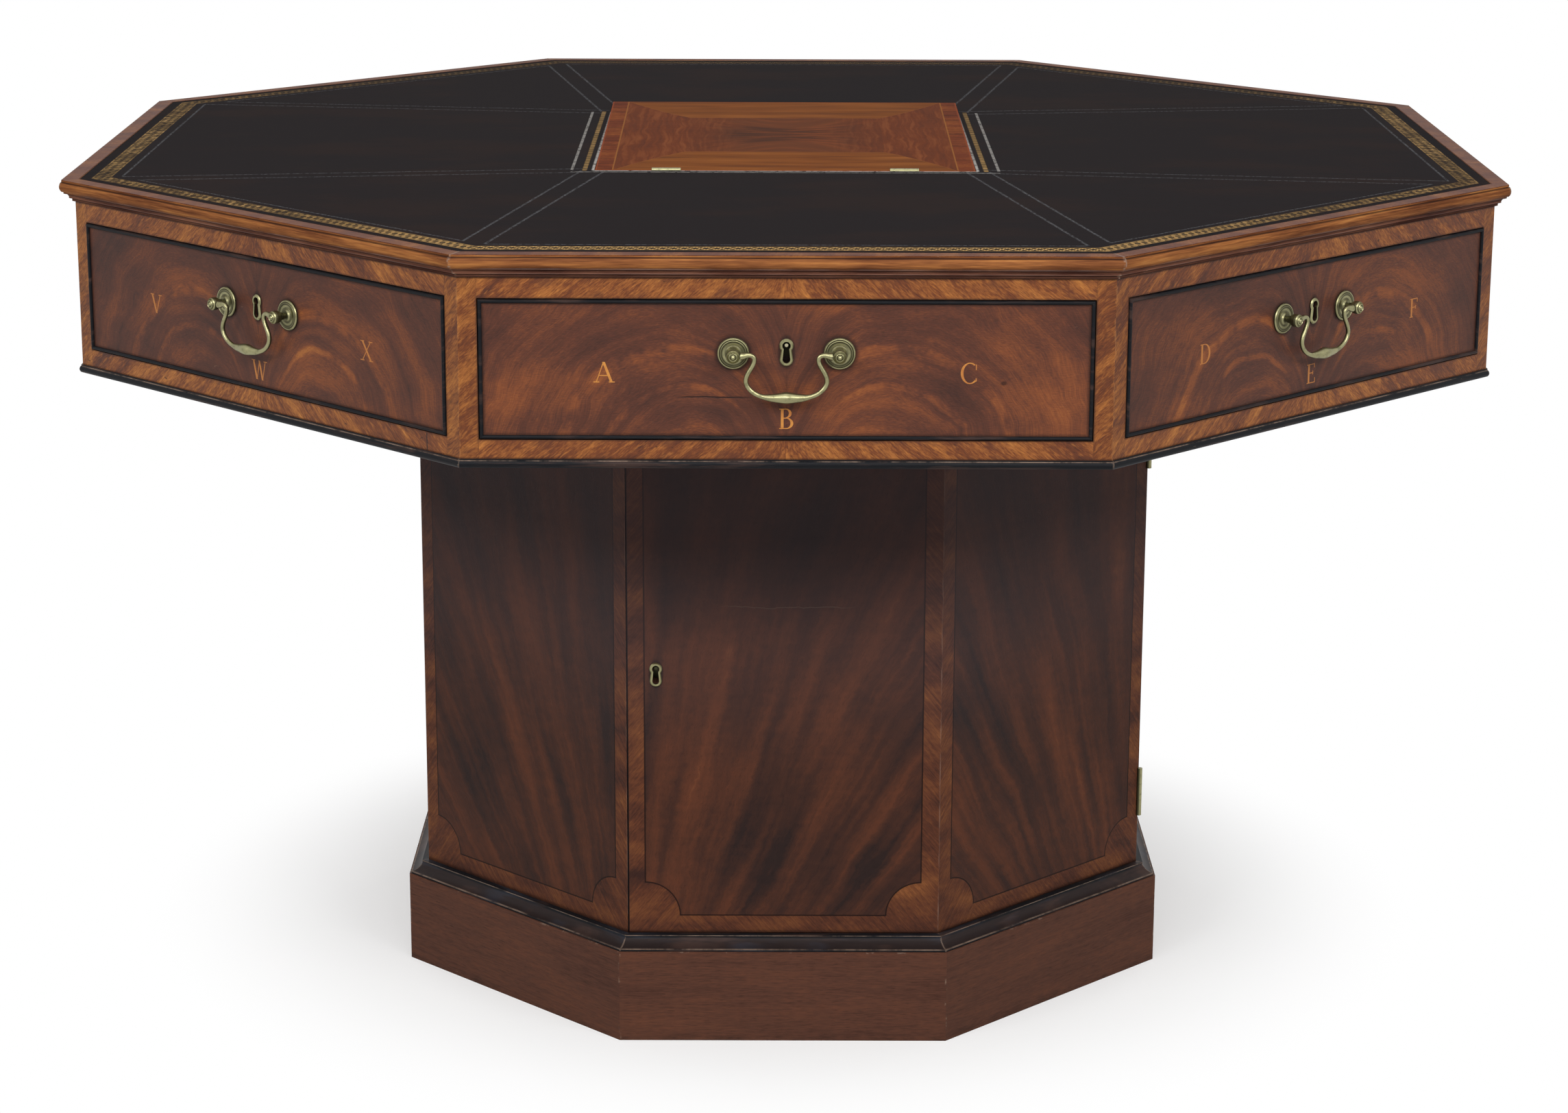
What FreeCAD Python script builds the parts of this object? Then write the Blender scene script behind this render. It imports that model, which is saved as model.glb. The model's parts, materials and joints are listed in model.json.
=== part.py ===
"""Rent table: a turning octagonal drum of eight wedge drawers on an octagonal cupboard pedestal.

Millimetres, +Z up, origin on the floor at the middle of the plinth. The front face looks along -Y.
Every face piece is drawn once on the front face and turned round the Z axis. On that face the x axis
runs along the face, and "out" is the distance from the table's middle to the face, along -Y.
"""
import FreeCAD, Part
import math
import os

V = FreeCAD.Vector

# Turns
QUARTER_TURN_DEG = 90.0
HALF_TURN_DEG = 180.0
FULL_TURN_DEG = 360.0

# Whole table
SIDES = 8
TABLE_HEIGHT = 770.0
TOP_ACROSS = 1278.0
PEDESTAL_ACROSS = 678.0

# Moulded edge of the top
EDGE_OVERHANG = 13.0
EDGE_HEIGHT = 19.0
RIM_SETBACK = 2.1
RIM_WIDTH = 15.0
EDGE_SEAT = 10.0
LEATHER_THICK = 1.4
LEATHER_SINK = 0.2

# Drum
DRUM_HEIGHT = 147.0
RAIL_LOW = 15.5
RAIL_HIGH = 17.5
RAIL_DEEP = 22.0
STILE_WIDTH = 15.3
PARTITION_THICK = 12.0
BEAD_MOULD_HEIGHT = 7.0
BEAD_MOULD_OUT = 3.0
BEAD_MOULD_DEEP = 20.0

# Drawers
DRAWER_DEPTH = 310.0
FRONT_GAP = 0.8
FRONT_THICK = 20.0
FRONT_SINK = 0.5
SIDE_GAP = 1.2
SIDE_THICK = 8.0
BACK_THICK = 8.0
BOTTOM_THICK = 6.0
BOTTOM_LIFT = 8.0
SIDE_TOP_GAP = 6.5
SLIDE_GAP = 0.3
COCKBEAD_WIDE = 3.0
COCKBEAD_PROUD = 2.2
RUNNER_WIDE = 24.0
RUNNER_HEIGHT = 7.0
GUIDE_WIDE = 12.0
GUIDE_GAP = 0.7
GUIDE_INSET = 8.0
KICKER_WIDE = 30.0
KICKER_GAP = 1.0
STOP_DEEP = 12.0
STOP_WIDE = 40.0
STOP_HEIGHT = 20.0

# Bail handles
HANDLE_DROP = 61.0
POST_SPACING = 84.0
POST_REACH = 13.0
POST_WAIST_R = 2.5
POST_HEAD_R = 5.5
POST_LONG = 19.5
ROSETTE_R = 12.7
ROSETTE_THICK = 4.2
NUT_R = 5.5
NUT_THICK = 3.5
HOLE_EASE = 0.1
BAIL_DROP = 33.3
BAIL_SWELL_R = 4.75
BAIL_NECK_R = 1.85
BAIL_COLLAR_R = 3.1
BAIL_PIN_R = 1.5
BAIL_PIN_EASE = 0.05
BAIL_END_GAP = 0.3

# Keyhole escutcheons and locks
KEYHOLE_DROP = 36.5
ESCUTCHEON_R = 5.6
ESCUTCHEON_TALL = 22.0
ESCUTCHEON_FOOT = 10.6
ESCUTCHEON_WAIST = 8.7
ESCUTCHEON_THICK = 1.6
ESCUTCHEON_BEVEL = 0.8
KEYHOLE_R = 3.3
KEYHOLE_SLOT = 4.4
KEYHOLE_SLOT_FOOT = 6.2
ESCUTCHEON_RIM = 2.4
KEY_PIN_R = 1.4
KEY_PIN_SHORT = 1.5
LOCK_WIDE = 50.0
LOCK_TALL = 44.0
LOCK_THICK = 9.0
BOLT_WIDE = 14.0
BOLT_THICK = 4.0
BOLT_LONG = 22.0
BOLT_EASE = 0.3
BOLT_SINK = 0.5
BOLT_THROW = 6.0
MORTISE_SPARE = 1.0

# Well and its lid
HATCH_WIDE = 343.6
HATCH_DEEP = 389.6
LID_GAP = 0.8
LID_CLAMP = 16.0
WELL_LEDGE = 10.0
WELL_WALL = 14.0
WELL_FLOOR = 12.0
WELL_DEPTH = 101.0
LID_AJAR_DEG = 1.5
REST_GAP = 0.3

# Hinges
LID_HINGE_LONG = 26.0
LID_HINGE_SPREAD = 214.0
LID_LEAF_DEEP = 14.0
LID_BARREL_R = 2.0
LID_AXIS_RISE = 0.3
DOOR_HINGE_LONG = 47.0
DOOR_HINGE_INSET = 69.5
DOOR_LEAF_DEEP = 15.0
DOOR_BARREL_R = 2.6
DOOR_AXIS_OUT = 1.0
LEAF_THICK = 1.3
HINGE_PIN_R = 1.0
HINGE_PIN_EASE = 0.05
KNUCKLE_GAP = 0.15
KNUCKLE_CLEAR = 0.3
KNUCKLES = 3

# Turning gear
TURN_GAP = 0.3
SPINDLE_R = 15.0
SPINDLE_EASE = 0.05
SPINDLE_FLANGE_R = 55.0
SPINDLE_FLANGE_THICK = 6.0
FLANGE_SCREW_R = 5.0
FLANGE_SCREW_HEAD = 2.5
FLANGE_SCREWS = 4
WASHER_R = 32.0
WASHER_THICK = 3.0
NUT_ACROSS_R = 24.0
NUT_SIDES = 6
SPINDLE_NUT_THICK = 9.0
SPINDLE_SHOW = 4.0
WEAR_RING_R = 280.0
WEAR_RING_WIDE = 30.0
WEAR_RING_THICK = 3.7

# Pedestal
PANEL_THICK = 19.0
PEDESTAL_TOP_THICK = 22.0
PANEL_FOOT_GAP = 6.0
PLINTH_HEIGHT = 85.0
PLINTH_OUT = 18.0
PLINTH_MOULD_HEIGHT = 12.0
PLINTH_MOULD_TOP = 6.0
PLINTH_MOULD_FOOT = 16.5
FLOOR_THICK = 18.0
SHELF_THICK = 15.0
SHELF_LEVEL = 330.0
SHELF_SETBACK = 20.0
SHELF_EASE = 0.5
BATTEN_DEEP = 14.0
BATTEN_TALL = 18.0
BATTEN_LONG = 160.0
BLOCK_LEG = 25.0
BLOCK_LONG = 110.0
BLOCK_END_GAP = 14.0

# Cupboard door
DOOR_GAP = 0.8
DOOR_FACE_COUNT = 2
DOOR_FACES = range(DOOR_FACE_COUNT)
FIXED_FACES = range(DOOR_FACE_COUNT, SIDES)
KEEPER_FACE = SIDES - 1
DOOR_KEY_INSET = 26.4
DOOR_KEY_LEVEL = 346.0
DOOR_LOCK_WIDE = 34.0
DOOR_LOCK_TALL = 44.0
DOOR_LOCK_THICK = 12.0
DOOR_BOLT_THROW = 13.0
DOOR_BOLT_SINK = 1.0

# Outlines as shares of their own piece's reach outwards and height downwards
EDGE_STEP_SHARE = 0.11
EDGE_NOSE_SHARES = ((0.89, 0.11), (1.0, 0.32), (0.86, 0.55))
EDGE_FILLET_SHARES = ((0.73, 0.58), (0.73, 0.64), (0.55, 0.66))
EDGE_COVE_SHARES = ((0.43, 0.74), (0.40, 0.86))
EDGE_FOOT_SHARES = ((0.20, 0.89), (0.20, 1.0))
BEAD_TOP_SHARES = ((0.45, 0.0), (0.45, 0.17))
BEAD_ROUND_SHARES = ((0.55, 0.17), (1.0, 0.58), (0.45, 1.0))
COVE_FOOT_SHARE = 0.17
COVE_TOP_SHARE = 0.80
COVE_MIDDLE_SHARES = (0.30, 0.55)
ROSETTE_SHARES = (
    (0.0, 1.0), (0.30, 1.0), (0.46, 0.96), (0.50, 0.90), (0.42, 0.86), (0.54, 0.82),
    (0.58, 0.78), (0.49, 0.72), (0.46, 0.52), (0.60, 0.44), (1.0, 0.36),
)
POST_SHARES = (
    (0.31, 0.56), (0.37, 0.56), (0.375, 0.47), (0.42, 0.47), (0.425, 0.64), (0.47, 0.64),
    (0.475, 0.50), (0.505, 0.50), (0.52, 0.80), (0.58, 0.94), (0.66, 1.0), (0.77, 1.0),
    (0.85, 0.94), (0.875, 0.86), (0.85, 0.78), (0.87, 0.70), (0.93, 0.62), (0.955, 0.52),
    (0.93, 0.42), (0.95, 0.32), (0.985, 0.22), (1.0, 0.10),
)
BAIL_PATH_SHARES = (
    (0.862, 0.0, 1.0), (0.767, -0.021, 0.42), (0.671, -0.024, 0.08), (0.61, 0.036, 0.0),
    (0.61, 0.138, 0.0), (0.648, 0.252, 0.0), (0.698, 0.36, 0.0), (0.745, 0.48, 0.0),
    (0.762, 0.607, 0.0), (0.726, 0.733, 0.0), (0.643, 0.85, 0.0), (0.536, 0.931, 0.017),
    (0.429, 0.976, 0.086), (0.321, 0.997, 0.36), (0.214, 1.003, 0.57), (0.0, 1.0, 1.0),
)
BAIL_SWELL_START = 7
STEP_DEG = FULL_TURN_DEG / SIDES
HALF_TAN = math.tan(math.radians(STEP_DEG / 2))
HALF_COS = math.cos(math.radians(STEP_DEG / 2))

# Levels and distances worked out from the sizes above
top_out = TOP_ACROSS / 2
drum_out = top_out - EDGE_OVERHANG
rim_out = top_out - RIM_SETBACK
leather_out = rim_out - RIM_WIDTH
board_out = leather_out - EDGE_SEAT
rail_in = drum_out - RAIL_DEEP
drum_top = TABLE_HEIGHT - EDGE_HEIGHT
drum_foot = drum_top - DRUM_HEIGHT
bead_foot = drum_foot - BEAD_MOULD_HEIGHT
leather_top = TABLE_HEIGHT - LEATHER_SINK
leather_foot = leather_top - LEATHER_THICK
bay_low = drum_foot + RAIL_LOW
bay_high = drum_top - RAIL_HIGH
bay_half = drum_out * HALF_TAN - STILE_WIDTH
drawer_back = drum_out - DRAWER_DEPTH
front_out = drum_out - FRONT_SINK
front_in = front_out - FRONT_THICK
front_low = bay_low + FRONT_GAP
front_high = bay_high - FRONT_GAP
front_half = bay_half - FRONT_GAP
core_low = front_low + COCKBEAD_WIDE
core_high = front_high - COCKBEAD_WIDE
core_half = front_half - COCKBEAD_WIDE
side_low = bay_low + SLIDE_GAP
side_high = bay_high - SIDE_TOP_GAP
bottom_low = side_low + BOTTOM_LIFT
handle_level = drum_top - HANDLE_DROP
handle_out = front_out + POST_REACH
keyhole_level = core_high - KEYHOLE_DROP + COCKBEAD_WIDE
ample = TOP_ACROSS
pedestal_out = PEDESTAL_ACROSS / 2
panel_in = pedestal_out - PANEL_THICK
plinth_out = pedestal_out + PLINTH_OUT
cupboard_floor = PLINTH_HEIGHT + PLINTH_MOULD_HEIGHT
ring_foot = drum_foot - TURN_GAP - WEAR_RING_THICK
pedestal_head = ring_foot - PEDESTAL_TOP_THICK
door_low = cupboard_floor + DOOR_GAP
door_high = pedestal_head - DOOR_GAP
arris_r = pedestal_out / HALF_COS


def block(x_low, x_high, out_low, out_high, low, high):
    """A box on the front face, out_low to out_high from the table's middle."""
    corner = V(x_low, -out_high, low)
    return Part.makeBox(x_high - x_low, out_high - out_low, high - low, corner)


def prism(points, low, high):
    """An upright prism on a plan outline of (x, out) points."""
    corners = [V(x, -out, low) for x, out in points]
    return Part.Face(Part.makePolygon(corners + corners[:1])).extrude(V(0, 0, high - low))


def turned(shape, face):
    """A copy of a front-face shape, turned to another face."""
    copy = shape.copy()
    copy.rotate(V(0, 0, 0), V(0, 0, 1), STEP_DEG * face)
    return copy


def all_round(shape):
    return [turned(shape, face) for face in range(SIDES)]


def octagon(outs):
    """Plan corners of the eight-sided outline whose faces lie at the given distances."""
    corners = []
    for face in range(SIDES):
        after = (face + 1) % SIDES
        turn = math.radians(STEP_DEG)
        along = (outs[after] - outs[face] * math.cos(turn)) / math.sin(turn)
        angle = math.radians(STEP_DEG * face)
        x = along * math.cos(angle) + outs[face] * math.sin(angle)
        out = outs[face] * math.cos(angle) - along * math.sin(angle)
        corners.append((x, out))
    return corners


def mitred_board(out_low, out_high, low, high):
    """One board of an eight-sided ring, with mitred ends."""
    points = [
        (-out_low * HALF_TAN, out_low), (out_low * HALF_TAN, out_low),
        (out_high * HALF_TAN, out_high), (-out_high * HALF_TAN, out_high),
    ]
    return prism(points, low, high)


def section_face(steps):
    """A face across the front face's length, from (out, level) points; a pair of points is an arc."""
    here = V(-ample, -steps[0][0], steps[0][1])
    edges = []
    for step in steps[1:] + steps[:1]:
        if isinstance(step[0], tuple):
            middle, end = [V(-ample, -out, level) for out, level in step]
            edges.append(Part.Arc(here, middle, end).toShape())
        else:
            end = V(-ample, -step[0], step[1])
            if end.distanceToPoint(here) > 0:
                edges.append(Part.makeLine(here, end))
        here = end
    return Part.Face(Part.Wire(edges))


def mitred_mould(steps):
    """One length of moulding of the given section, cut to the face's mitres."""
    bar = section_face(steps).extrude(V(2 * ample, 0, 0))
    wedge = prism([(0, 0), (ample * HALF_TAN, ample), (-ample * HALF_TAN, ample)], -ample, ample)
    return bar.common(wedge).Solids[0]


def round_bar(radius, long, out_low, x, level):
    """A cylinder square to the front face."""
    return Part.makeCylinder(radius, long, V(x, -out_low, level), V(0, -1, 0))


def lathe(points):
    """A solid turned about the Z axis from (along, radius) points."""
    outline = [V(radius, 0, along) for along, radius in points]
    outline = [V(0, 0, points[0][0])] + outline + [V(0, 0, points[-1][0])]
    face = Part.Face(Part.makePolygon(outline + outline[:1]))
    return face.revolve(V(0, 0, 0), V(0, 0, 1), FULL_TURN_DEG).Solids[0]


def on_face(shape, x, out, level):
    """Stands a shape drawn flat, with its top along +Y and its front along +Z, on the front face."""
    copy = shape.copy()
    copy.rotate(V(0, 0, 0), V(1, 0, 0), QUARTER_TURN_DEG)
    copy.translate(V(x, -out, level))
    return copy


def save(node, solids):
    Part.makeCompound(solids).exportStep("parts/" + node + ".step")


def radial_line(offset, out):
    """x of the line that runs beside the face's radial edge plane, offset towards the face's middle."""
    return out * HALF_TAN - offset / HALF_COS


def wedge_board(offset, out_low, out_high, low, high):
    """A board between the two radial edge planes of a face."""
    near, far = radial_line(offset, out_low), radial_line(offset, out_high)
    return prism([(-near, out_low), (near, out_low), (far, out_high), (-far, out_high)], low, high)


def keyhole_outline(round_r, waist, foot, drop, level):
    """A circle with a flared foot, its circle's centre on the Z axis."""
    waist_y = -math.sqrt(round_r ** 2 - (waist / 2) ** 2)
    foot_y = -drop + foot / 2
    left, right = V(-waist / 2, waist_y, level), V(waist / 2, waist_y, level)
    foot_left, foot_right = V(-foot / 2, foot_y, level), V(foot / 2, foot_y, level)
    edges = [
        Part.Arc(left, V(0, round_r, level), right).toShape(),
        Part.makeLine(right, foot_right),
        Part.Arc(foot_right, V(0, -drop, level), foot_left).toShape(),
        Part.makeLine(foot_left, left),
    ]
    return Part.Wire(edges)


def plate_outline(inset, level):
    """The keyhole plate's outline, drawn in all round by the inset."""
    drop = ESCUTCHEON_TALL - ESCUTCHEON_R
    waist, foot = ESCUTCHEON_WAIST - 2 * inset, ESCUTCHEON_FOOT - 2 * inset
    return keyhole_outline(ESCUTCHEON_R - inset, waist, foot, drop - inset, level)


def escutcheon():
    """Keyhole plate with a bevelled rim."""
    foot, shoulder = plate_outline(0, 0), plate_outline(0, ESCUTCHEON_THICK - ESCUTCHEON_BEVEL)
    front = plate_outline(ESCUTCHEON_BEVEL, ESCUTCHEON_THICK)
    plate = Part.makeLoft([foot, shoulder, front], True, True)
    return plate.cut(keyhole(ESCUTCHEON_THICK)).Solids[0]


def keyhole(deep):
    """The keyhole's own void, deep long."""
    drop = ESCUTCHEON_TALL - ESCUTCHEON_R - ESCUTCHEON_RIM
    outline = keyhole_outline(KEYHOLE_R, KEYHOLE_SLOT, KEYHOLE_SLOT_FOOT, drop, 0)
    return Part.Face(outline).extrude(V(0, 0, deep))


def butt_hinge(long, leaf_deep, barrel_r, gap):
    """A butt hinge on the X axis: leaves hang down along -Z, the moving leaf on the +Y side."""
    share = long / KNUCKLES
    fixed = leaf(long, leaf_deep, -gap / 2 - LEAF_THICK)
    moving = leaf(long, leaf_deep, gap / 2)
    for number in range(KNUCKLES):
        start = -long / 2 + share * number
        barrel = lying_bar(barrel_r, share - KNUCKLE_GAP, start + KNUCKLE_GAP / 2)
        room = lying_bar(barrel_r + KNUCKLE_CLEAR, share, start)
        if number % 2 == 0:
            fixed, moving = fixed.fuse(barrel), moving.cut(room)
        else:
            fixed, moving = fixed.cut(room), moving.fuse(barrel)
    pin = lying_bar(HINGE_PIN_R, long, -long / 2)
    bore = lying_bar(HINGE_PIN_R + HINGE_PIN_EASE, long, -long / 2)
    return fixed.fuse(pin).removeSplitter().Solids[0], moving.cut(bore).removeSplitter().Solids[0]


def lying_bar(radius, long, start):
    """A cylinder along the X axis."""
    return Part.makeCylinder(radius, long, V(start, 0, 0), V(1, 0, 0))


def leaf(long, deep, start):
    return Part.makeBox(long, LEAF_THICK, deep, V(-long / 2, start, -deep))


def hinge_pockets(long, leaf_deep, barrel_r, gap):
    """What the fixed side and the moving side lose to a butt hinge."""
    barrel = lying_bar(barrel_r + KNUCKLE_CLEAR, long + 2 * KNUCKLE_CLEAR, -long / 2 - KNUCKLE_CLEAR)
    fixed = leaf(long, leaf_deep, -gap / 2 - LEAF_THICK).fuse(barrel)
    moving = leaf(long, leaf_deep, gap / 2).fuse(barrel)
    return fixed, moving


# Drum

def edge_mouldings():
    """Moulded edge and crossbanded rim, with a seat for the leather."""
    def at(shares):
        return drum_out + EDGE_OVERHANG * shares[0], TABLE_HEIGHT - EDGE_HEIGHT * shares[1]
    nose = [at(shares) for shares in EDGE_NOSE_SHARES]
    cove = tuple(at(shares) for shares in EDGE_COVE_SHARES)
    steps = [
        (board_out, drum_top), (board_out, leather_foot), (leather_out, leather_foot),
        (leather_out, TABLE_HEIGHT), (rim_out, TABLE_HEIGHT),
        (rim_out, TABLE_HEIGHT - EDGE_HEIGHT * EDGE_STEP_SHARE), nose[0], (nose[1], nose[2]),
    ]
    steps += [at(shares) for shares in EDGE_FILLET_SHARES]
    steps += [cove]
    steps += [at(shares) for shares in EDGE_FOOT_SHARES]
    save("edge_moulding", all_round(mitred_mould(steps)))


def bead_mouldings():
    """Ebonised bead under the frieze."""
    def at(shares):
        return drum_out + BEAD_MOULD_OUT * shares[0], drum_foot - BEAD_MOULD_HEIGHT * shares[1]
    top = [at(shares) for shares in BEAD_TOP_SHARES]
    start, middle, end = [at(shares) for shares in BEAD_ROUND_SHARES]
    inner = drum_out - BEAD_MOULD_DEEP
    steps = [(inner, drum_foot)] + top + [start, (middle, end), (inner, bead_foot)]
    save("bead_moulding", all_round(mitred_mould(steps)))


def top_boards():
    """Four boards round the hatch, cut away for the fixed leaves and knuckles of the lid's hinges."""
    disc = prism(octagon([board_out] * SIDES), drum_top, leather_foot)
    half_x, half_y = HATCH_WIDE / 2, HATCH_DEEP / 2
    boards = []
    for side in (1, -1):
        cross = Part.makeBox(2 * ample, ample, ample, V(-ample, half_y, 0))
        long = Part.makeBox(ample, HATCH_DEEP, ample, V(half_x, -half_y, 0))
        if side < 0:
            cross.rotate(V(0, 0, 0), V(0, 0, 1), HALF_TURN_DEG)
            long.rotate(V(0, 0, 0), V(0, 0, 1), HALF_TURN_DEG)
        boards += [disc.common(cross).Solids[0], disc.common(long).Solids[0]]
    pockets = Part.makeCompound(lid_hinge_set()[2])
    save("top_boards", [board.cut(pockets).Solids[0] for board in boards])


def leather_panels():
    """Eight leather panels that meet on the lines from the octagon's corners to the hatch's corners."""
    half_x, half_y = HATCH_WIDE / 2, HATCH_DEEP / 2
    outer = octagon([leather_out] * SIDES)
    pockets = Part.makeCompound(lid_hinge_set()[2])
    hatch = [(half_x, half_y), (half_x, -half_y), (-half_x, -half_y), (-half_x, half_y)]
    panels = []
    for quarter in range(len(hatch)):
        left, right = outer[2 * quarter - 1], outer[2 * quarter]
        beyond = outer[(2 * quarter + 1) % SIDES]
        corner_left, corner_right = hatch[quarter - 1], hatch[quarter]
        panels.append(prism([left, right, corner_right, corner_left], leather_foot, leather_top))
        panels.append(prism([right, beyond, corner_right], leather_foot, leather_top))
    save("leather_panels", [panel.cut(pockets).Solids[0] for panel in panels])


def drum_board():
    """Bottom board of the drum, with the bore that runs on the spindle."""
    board = prism(octagon([rail_in] * SIDES), drum_foot, bay_low)
    bore = Part.makeCylinder(SPINDLE_R + SPINDLE_EASE, RAIL_LOW, V(0, 0, drum_foot))
    save("drum_bottom", [board.cut(bore).Solids[0]])


def drum_frame():
    """Rails over and under the drawers, and the corner stiles."""
    low_rail = mitred_board(rail_in, drum_out, drum_foot, bay_low)
    high_rail = mitred_board(rail_in, drum_out, bay_high, drum_top)
    mortise = bolt_block(BOLT_EASE, bay_high, front_high - BOLT_SINK + BOLT_THROW + MORTISE_SPARE)
    inner = (partition_end() - bay_half * HALF_TAN * HALF_COS) / HALF_COS
    stile_low = [(bay_half, inner), (bay_half, drum_out), (drum_out * HALF_TAN, drum_out)]
    stile_far = [mirrored(point) for point in reversed(stile_low[:2])]
    stile = prism(stile_low + stile_far, bay_low, bay_high)
    rails = all_round(low_rail) + all_round(high_rail.cut(mortise).Solids[0])
    save("drum_rails", rails + all_round(stile))


def mirrored(point):
    """The plan point mirrored across the radial plane at the front face's right-hand corner."""
    angle = math.radians(STEP_DEG)
    x, out = point
    return (-x * math.cos(angle) + out * math.sin(angle), x * math.sin(angle) + out * math.cos(angle))


def partition_end():
    """Where a partition's end meets the rails' inner faces, along the radial line."""
    return rail_in / HALF_COS - PARTITION_THICK / 2 * HALF_TAN


def drum_partitions():
    """Radial partitions, and each bay's runner, kicker and stop."""
    wall = WELL_WALL - WELL_LEDGE
    half_x, half_y = HATCH_WIDE / 2 + wall, HATCH_DEEP / 2 + wall
    well = Part.makeBox(2 * half_x, 2 * half_y, ample, V(-half_x, -half_y, 0))
    half = PARTITION_THICK / 2
    partition = block(-half, half, half, partition_end(), bay_low, drum_top)
    partition.rotate(V(0, 0, 0), V(0, 0, 1), STEP_DEG / 2)
    half = RUNNER_WIDE / 2
    runner = block(-half, half, drawer_back, rail_in, bay_low, bay_low + RUNNER_HEIGHT)
    half = KICKER_WIDE / 2
    kicker = block(-half, half, drawer_back, rail_in, side_high + KICKER_GAP, drum_top)
    stop_face = drawer_back - SLIDE_GAP
    half = STOP_WIDE / 2
    stop = block(-half, half, stop_face - STOP_DEEP, stop_face, bay_low, bay_low + STOP_HEIGHT)
    solids = [board.cut(well).Solids[0] for board in all_round(partition)]
    save("drum_partitions", solids + all_round(runner) + all_round(kicker) + all_round(stop))


def well_box():
    """The well under the hatch: four walls on a floor. Their inner ledge carries the lid."""
    in_x, in_y = HATCH_WIDE / 2 - WELL_LEDGE, HATCH_DEEP / 2 - WELL_LEDGE
    out_x, out_y = in_x + WELL_WALL, in_y + WELL_WALL
    floor_top = drum_top - WELL_DEPTH
    front = block(-out_x, out_x, in_y, out_y, floor_top, drum_top)
    side = block(in_x, out_x, -in_y, in_y, floor_top, drum_top)
    floor = block(-out_x, out_x, -out_y, out_y, floor_top - WELL_FLOOR, floor_top)
    save("well_box", [front, side, turned(front, SIDES // 2), turned(side, SIDES // 2), floor])


# Well lid

def lid_axis():
    """A point on the lid's hinge axis."""
    return V(0, -HATCH_DEEP / 2 + LID_GAP / 2, TABLE_HEIGHT + LID_AXIS_RISE)


def opened(shape):
    """Turns a closed lid piece to the ajar place in which the lid is stored."""
    copy = shape.copy()
    copy.rotate(lid_axis(), V(1, 0, 0), LID_AJAR_DEG)
    return copy


def lid_hinge_set():
    """Fixed leaves, moving leaves, and the pockets of the fixed and the moving side."""
    made = butt_hinge(LID_HINGE_LONG, LID_LEAF_DEEP, LID_BARREL_R, LID_GAP)
    made += hinge_pockets(LID_HINGE_LONG, LID_LEAF_DEEP, LID_BARREL_R, LID_GAP)
    sets = [[], [], [], []]
    for side in (-1, 1):
        place = lid_axis() + V(side * LID_HINGE_SPREAD / 2, 0, 0)
        for group, shape in zip(sets, made):
            copy = shape.copy()
            copy.translate(place)
            group.append(copy)
    return sets


def well_lid():
    """The lid board between its two end clamps, stored slightly ajar, and its hinge leaves."""
    low, high = drum_top + REST_GAP, TABLE_HEIGHT
    half_x, half_y = HATCH_WIDE / 2 - LID_GAP, HATCH_DEEP / 2 - LID_GAP
    middle = half_x - LID_CLAMP
    fixed, moving, _, pockets = lid_hinge_set()
    board = block(-middle, middle, -half_y, half_y, low, high)
    board = board.cut(Part.makeCompound(pockets)).Solids[0]
    clamp = Part.makeBox(LID_CLAMP, 2 * half_y, high - low, V(middle, -half_y, low))
    solids = [board, clamp, turned(clamp, SIDES // 2)]
    save("well_lid", [opened(solid) for solid in solids])
    save("lid_hinge_fixed", fixed)
    save("lid_hinge_moving", [opened(solid) for solid in moving])


# Drawers

def drawer_wood():
    """Front, sides, back, bottom and the two strips that straddle the runner."""
    front = block(-core_half, core_half, front_in, front_out, core_low, core_high)
    front = front.cut(Part.makeCompound(front_voids())).Solids[0]
    outer, inner = PARTITION_THICK / 2 + SIDE_GAP, PARTITION_THICK / 2 + SIDE_GAP + SIDE_THICK
    points = [
        (radial_line(inner, drawer_back), drawer_back), (radial_line(outer, drawer_back), drawer_back),
        (radial_line(outer, front_in), front_in), (radial_line(inner, front_in), front_in),
    ]
    side = prism(points, side_low, side_high)
    other = prism([(-x, out) for x, out in points], side_low, side_high)
    back = wedge_board(inner, drawer_back, drawer_back + BACK_THICK, bottom_low, side_high)
    floor = wedge_board(inner, drawer_back + BACK_THICK, front_in, bottom_low, bottom_low + BOTTOM_THICK)
    near = RUNNER_WIDE / 2 + GUIDE_GAP
    ends = drawer_back + GUIDE_INSET, front_in - GUIDE_INSET
    guide = block(near, near + GUIDE_WIDE, ends[0], ends[1], side_low, bottom_low)
    other_guide = block(-near - GUIDE_WIDE, -near, ends[0], ends[1], side_low, bottom_low)
    return [front, side, other, back, floor, guide, other_guide]


def front_voids():
    """The lock's pocket, the keyhole and the two post holes in a drawer front."""
    lock_front = front_in + LOCK_THICK
    voids = [lock_block(), on_face(keyhole(FRONT_THICK - LOCK_THICK), 0, lock_front, keyhole_level)]
    for side in (-1, 1):
        x = side * POST_SPACING / 2
        voids.append(round_bar(POST_WAIST_R + HOLE_EASE, FRONT_THICK, front_in, x, handle_level))
    return voids


def drawer_cockbead():
    """Four ebonised strips with a rounded nose, mitred round the drawer front."""
    middle = (front_low + front_high) / 2
    half_high = (front_high - front_low) / 2
    strips = []
    for turn, reach in enumerate((half_high, front_half) * 2):
        bar = cockbead_bar(reach)
        bar.rotate(V(0, 0, 0), V(0, 1, 0), QUARTER_TURN_DEG * turn)
        strip = bar.common(mitre_room(turn, half_high)).Solids[0]
        strip.translate(V(0, 0, middle))
        strips.append(strip)
    slot = bolt_block(BOLT_EASE, core_high - BOLT_LONG, front_high + BOLT_SINK)
    strips[0] = strips[0].cut(slot).Solids[0]
    return strips


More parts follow.
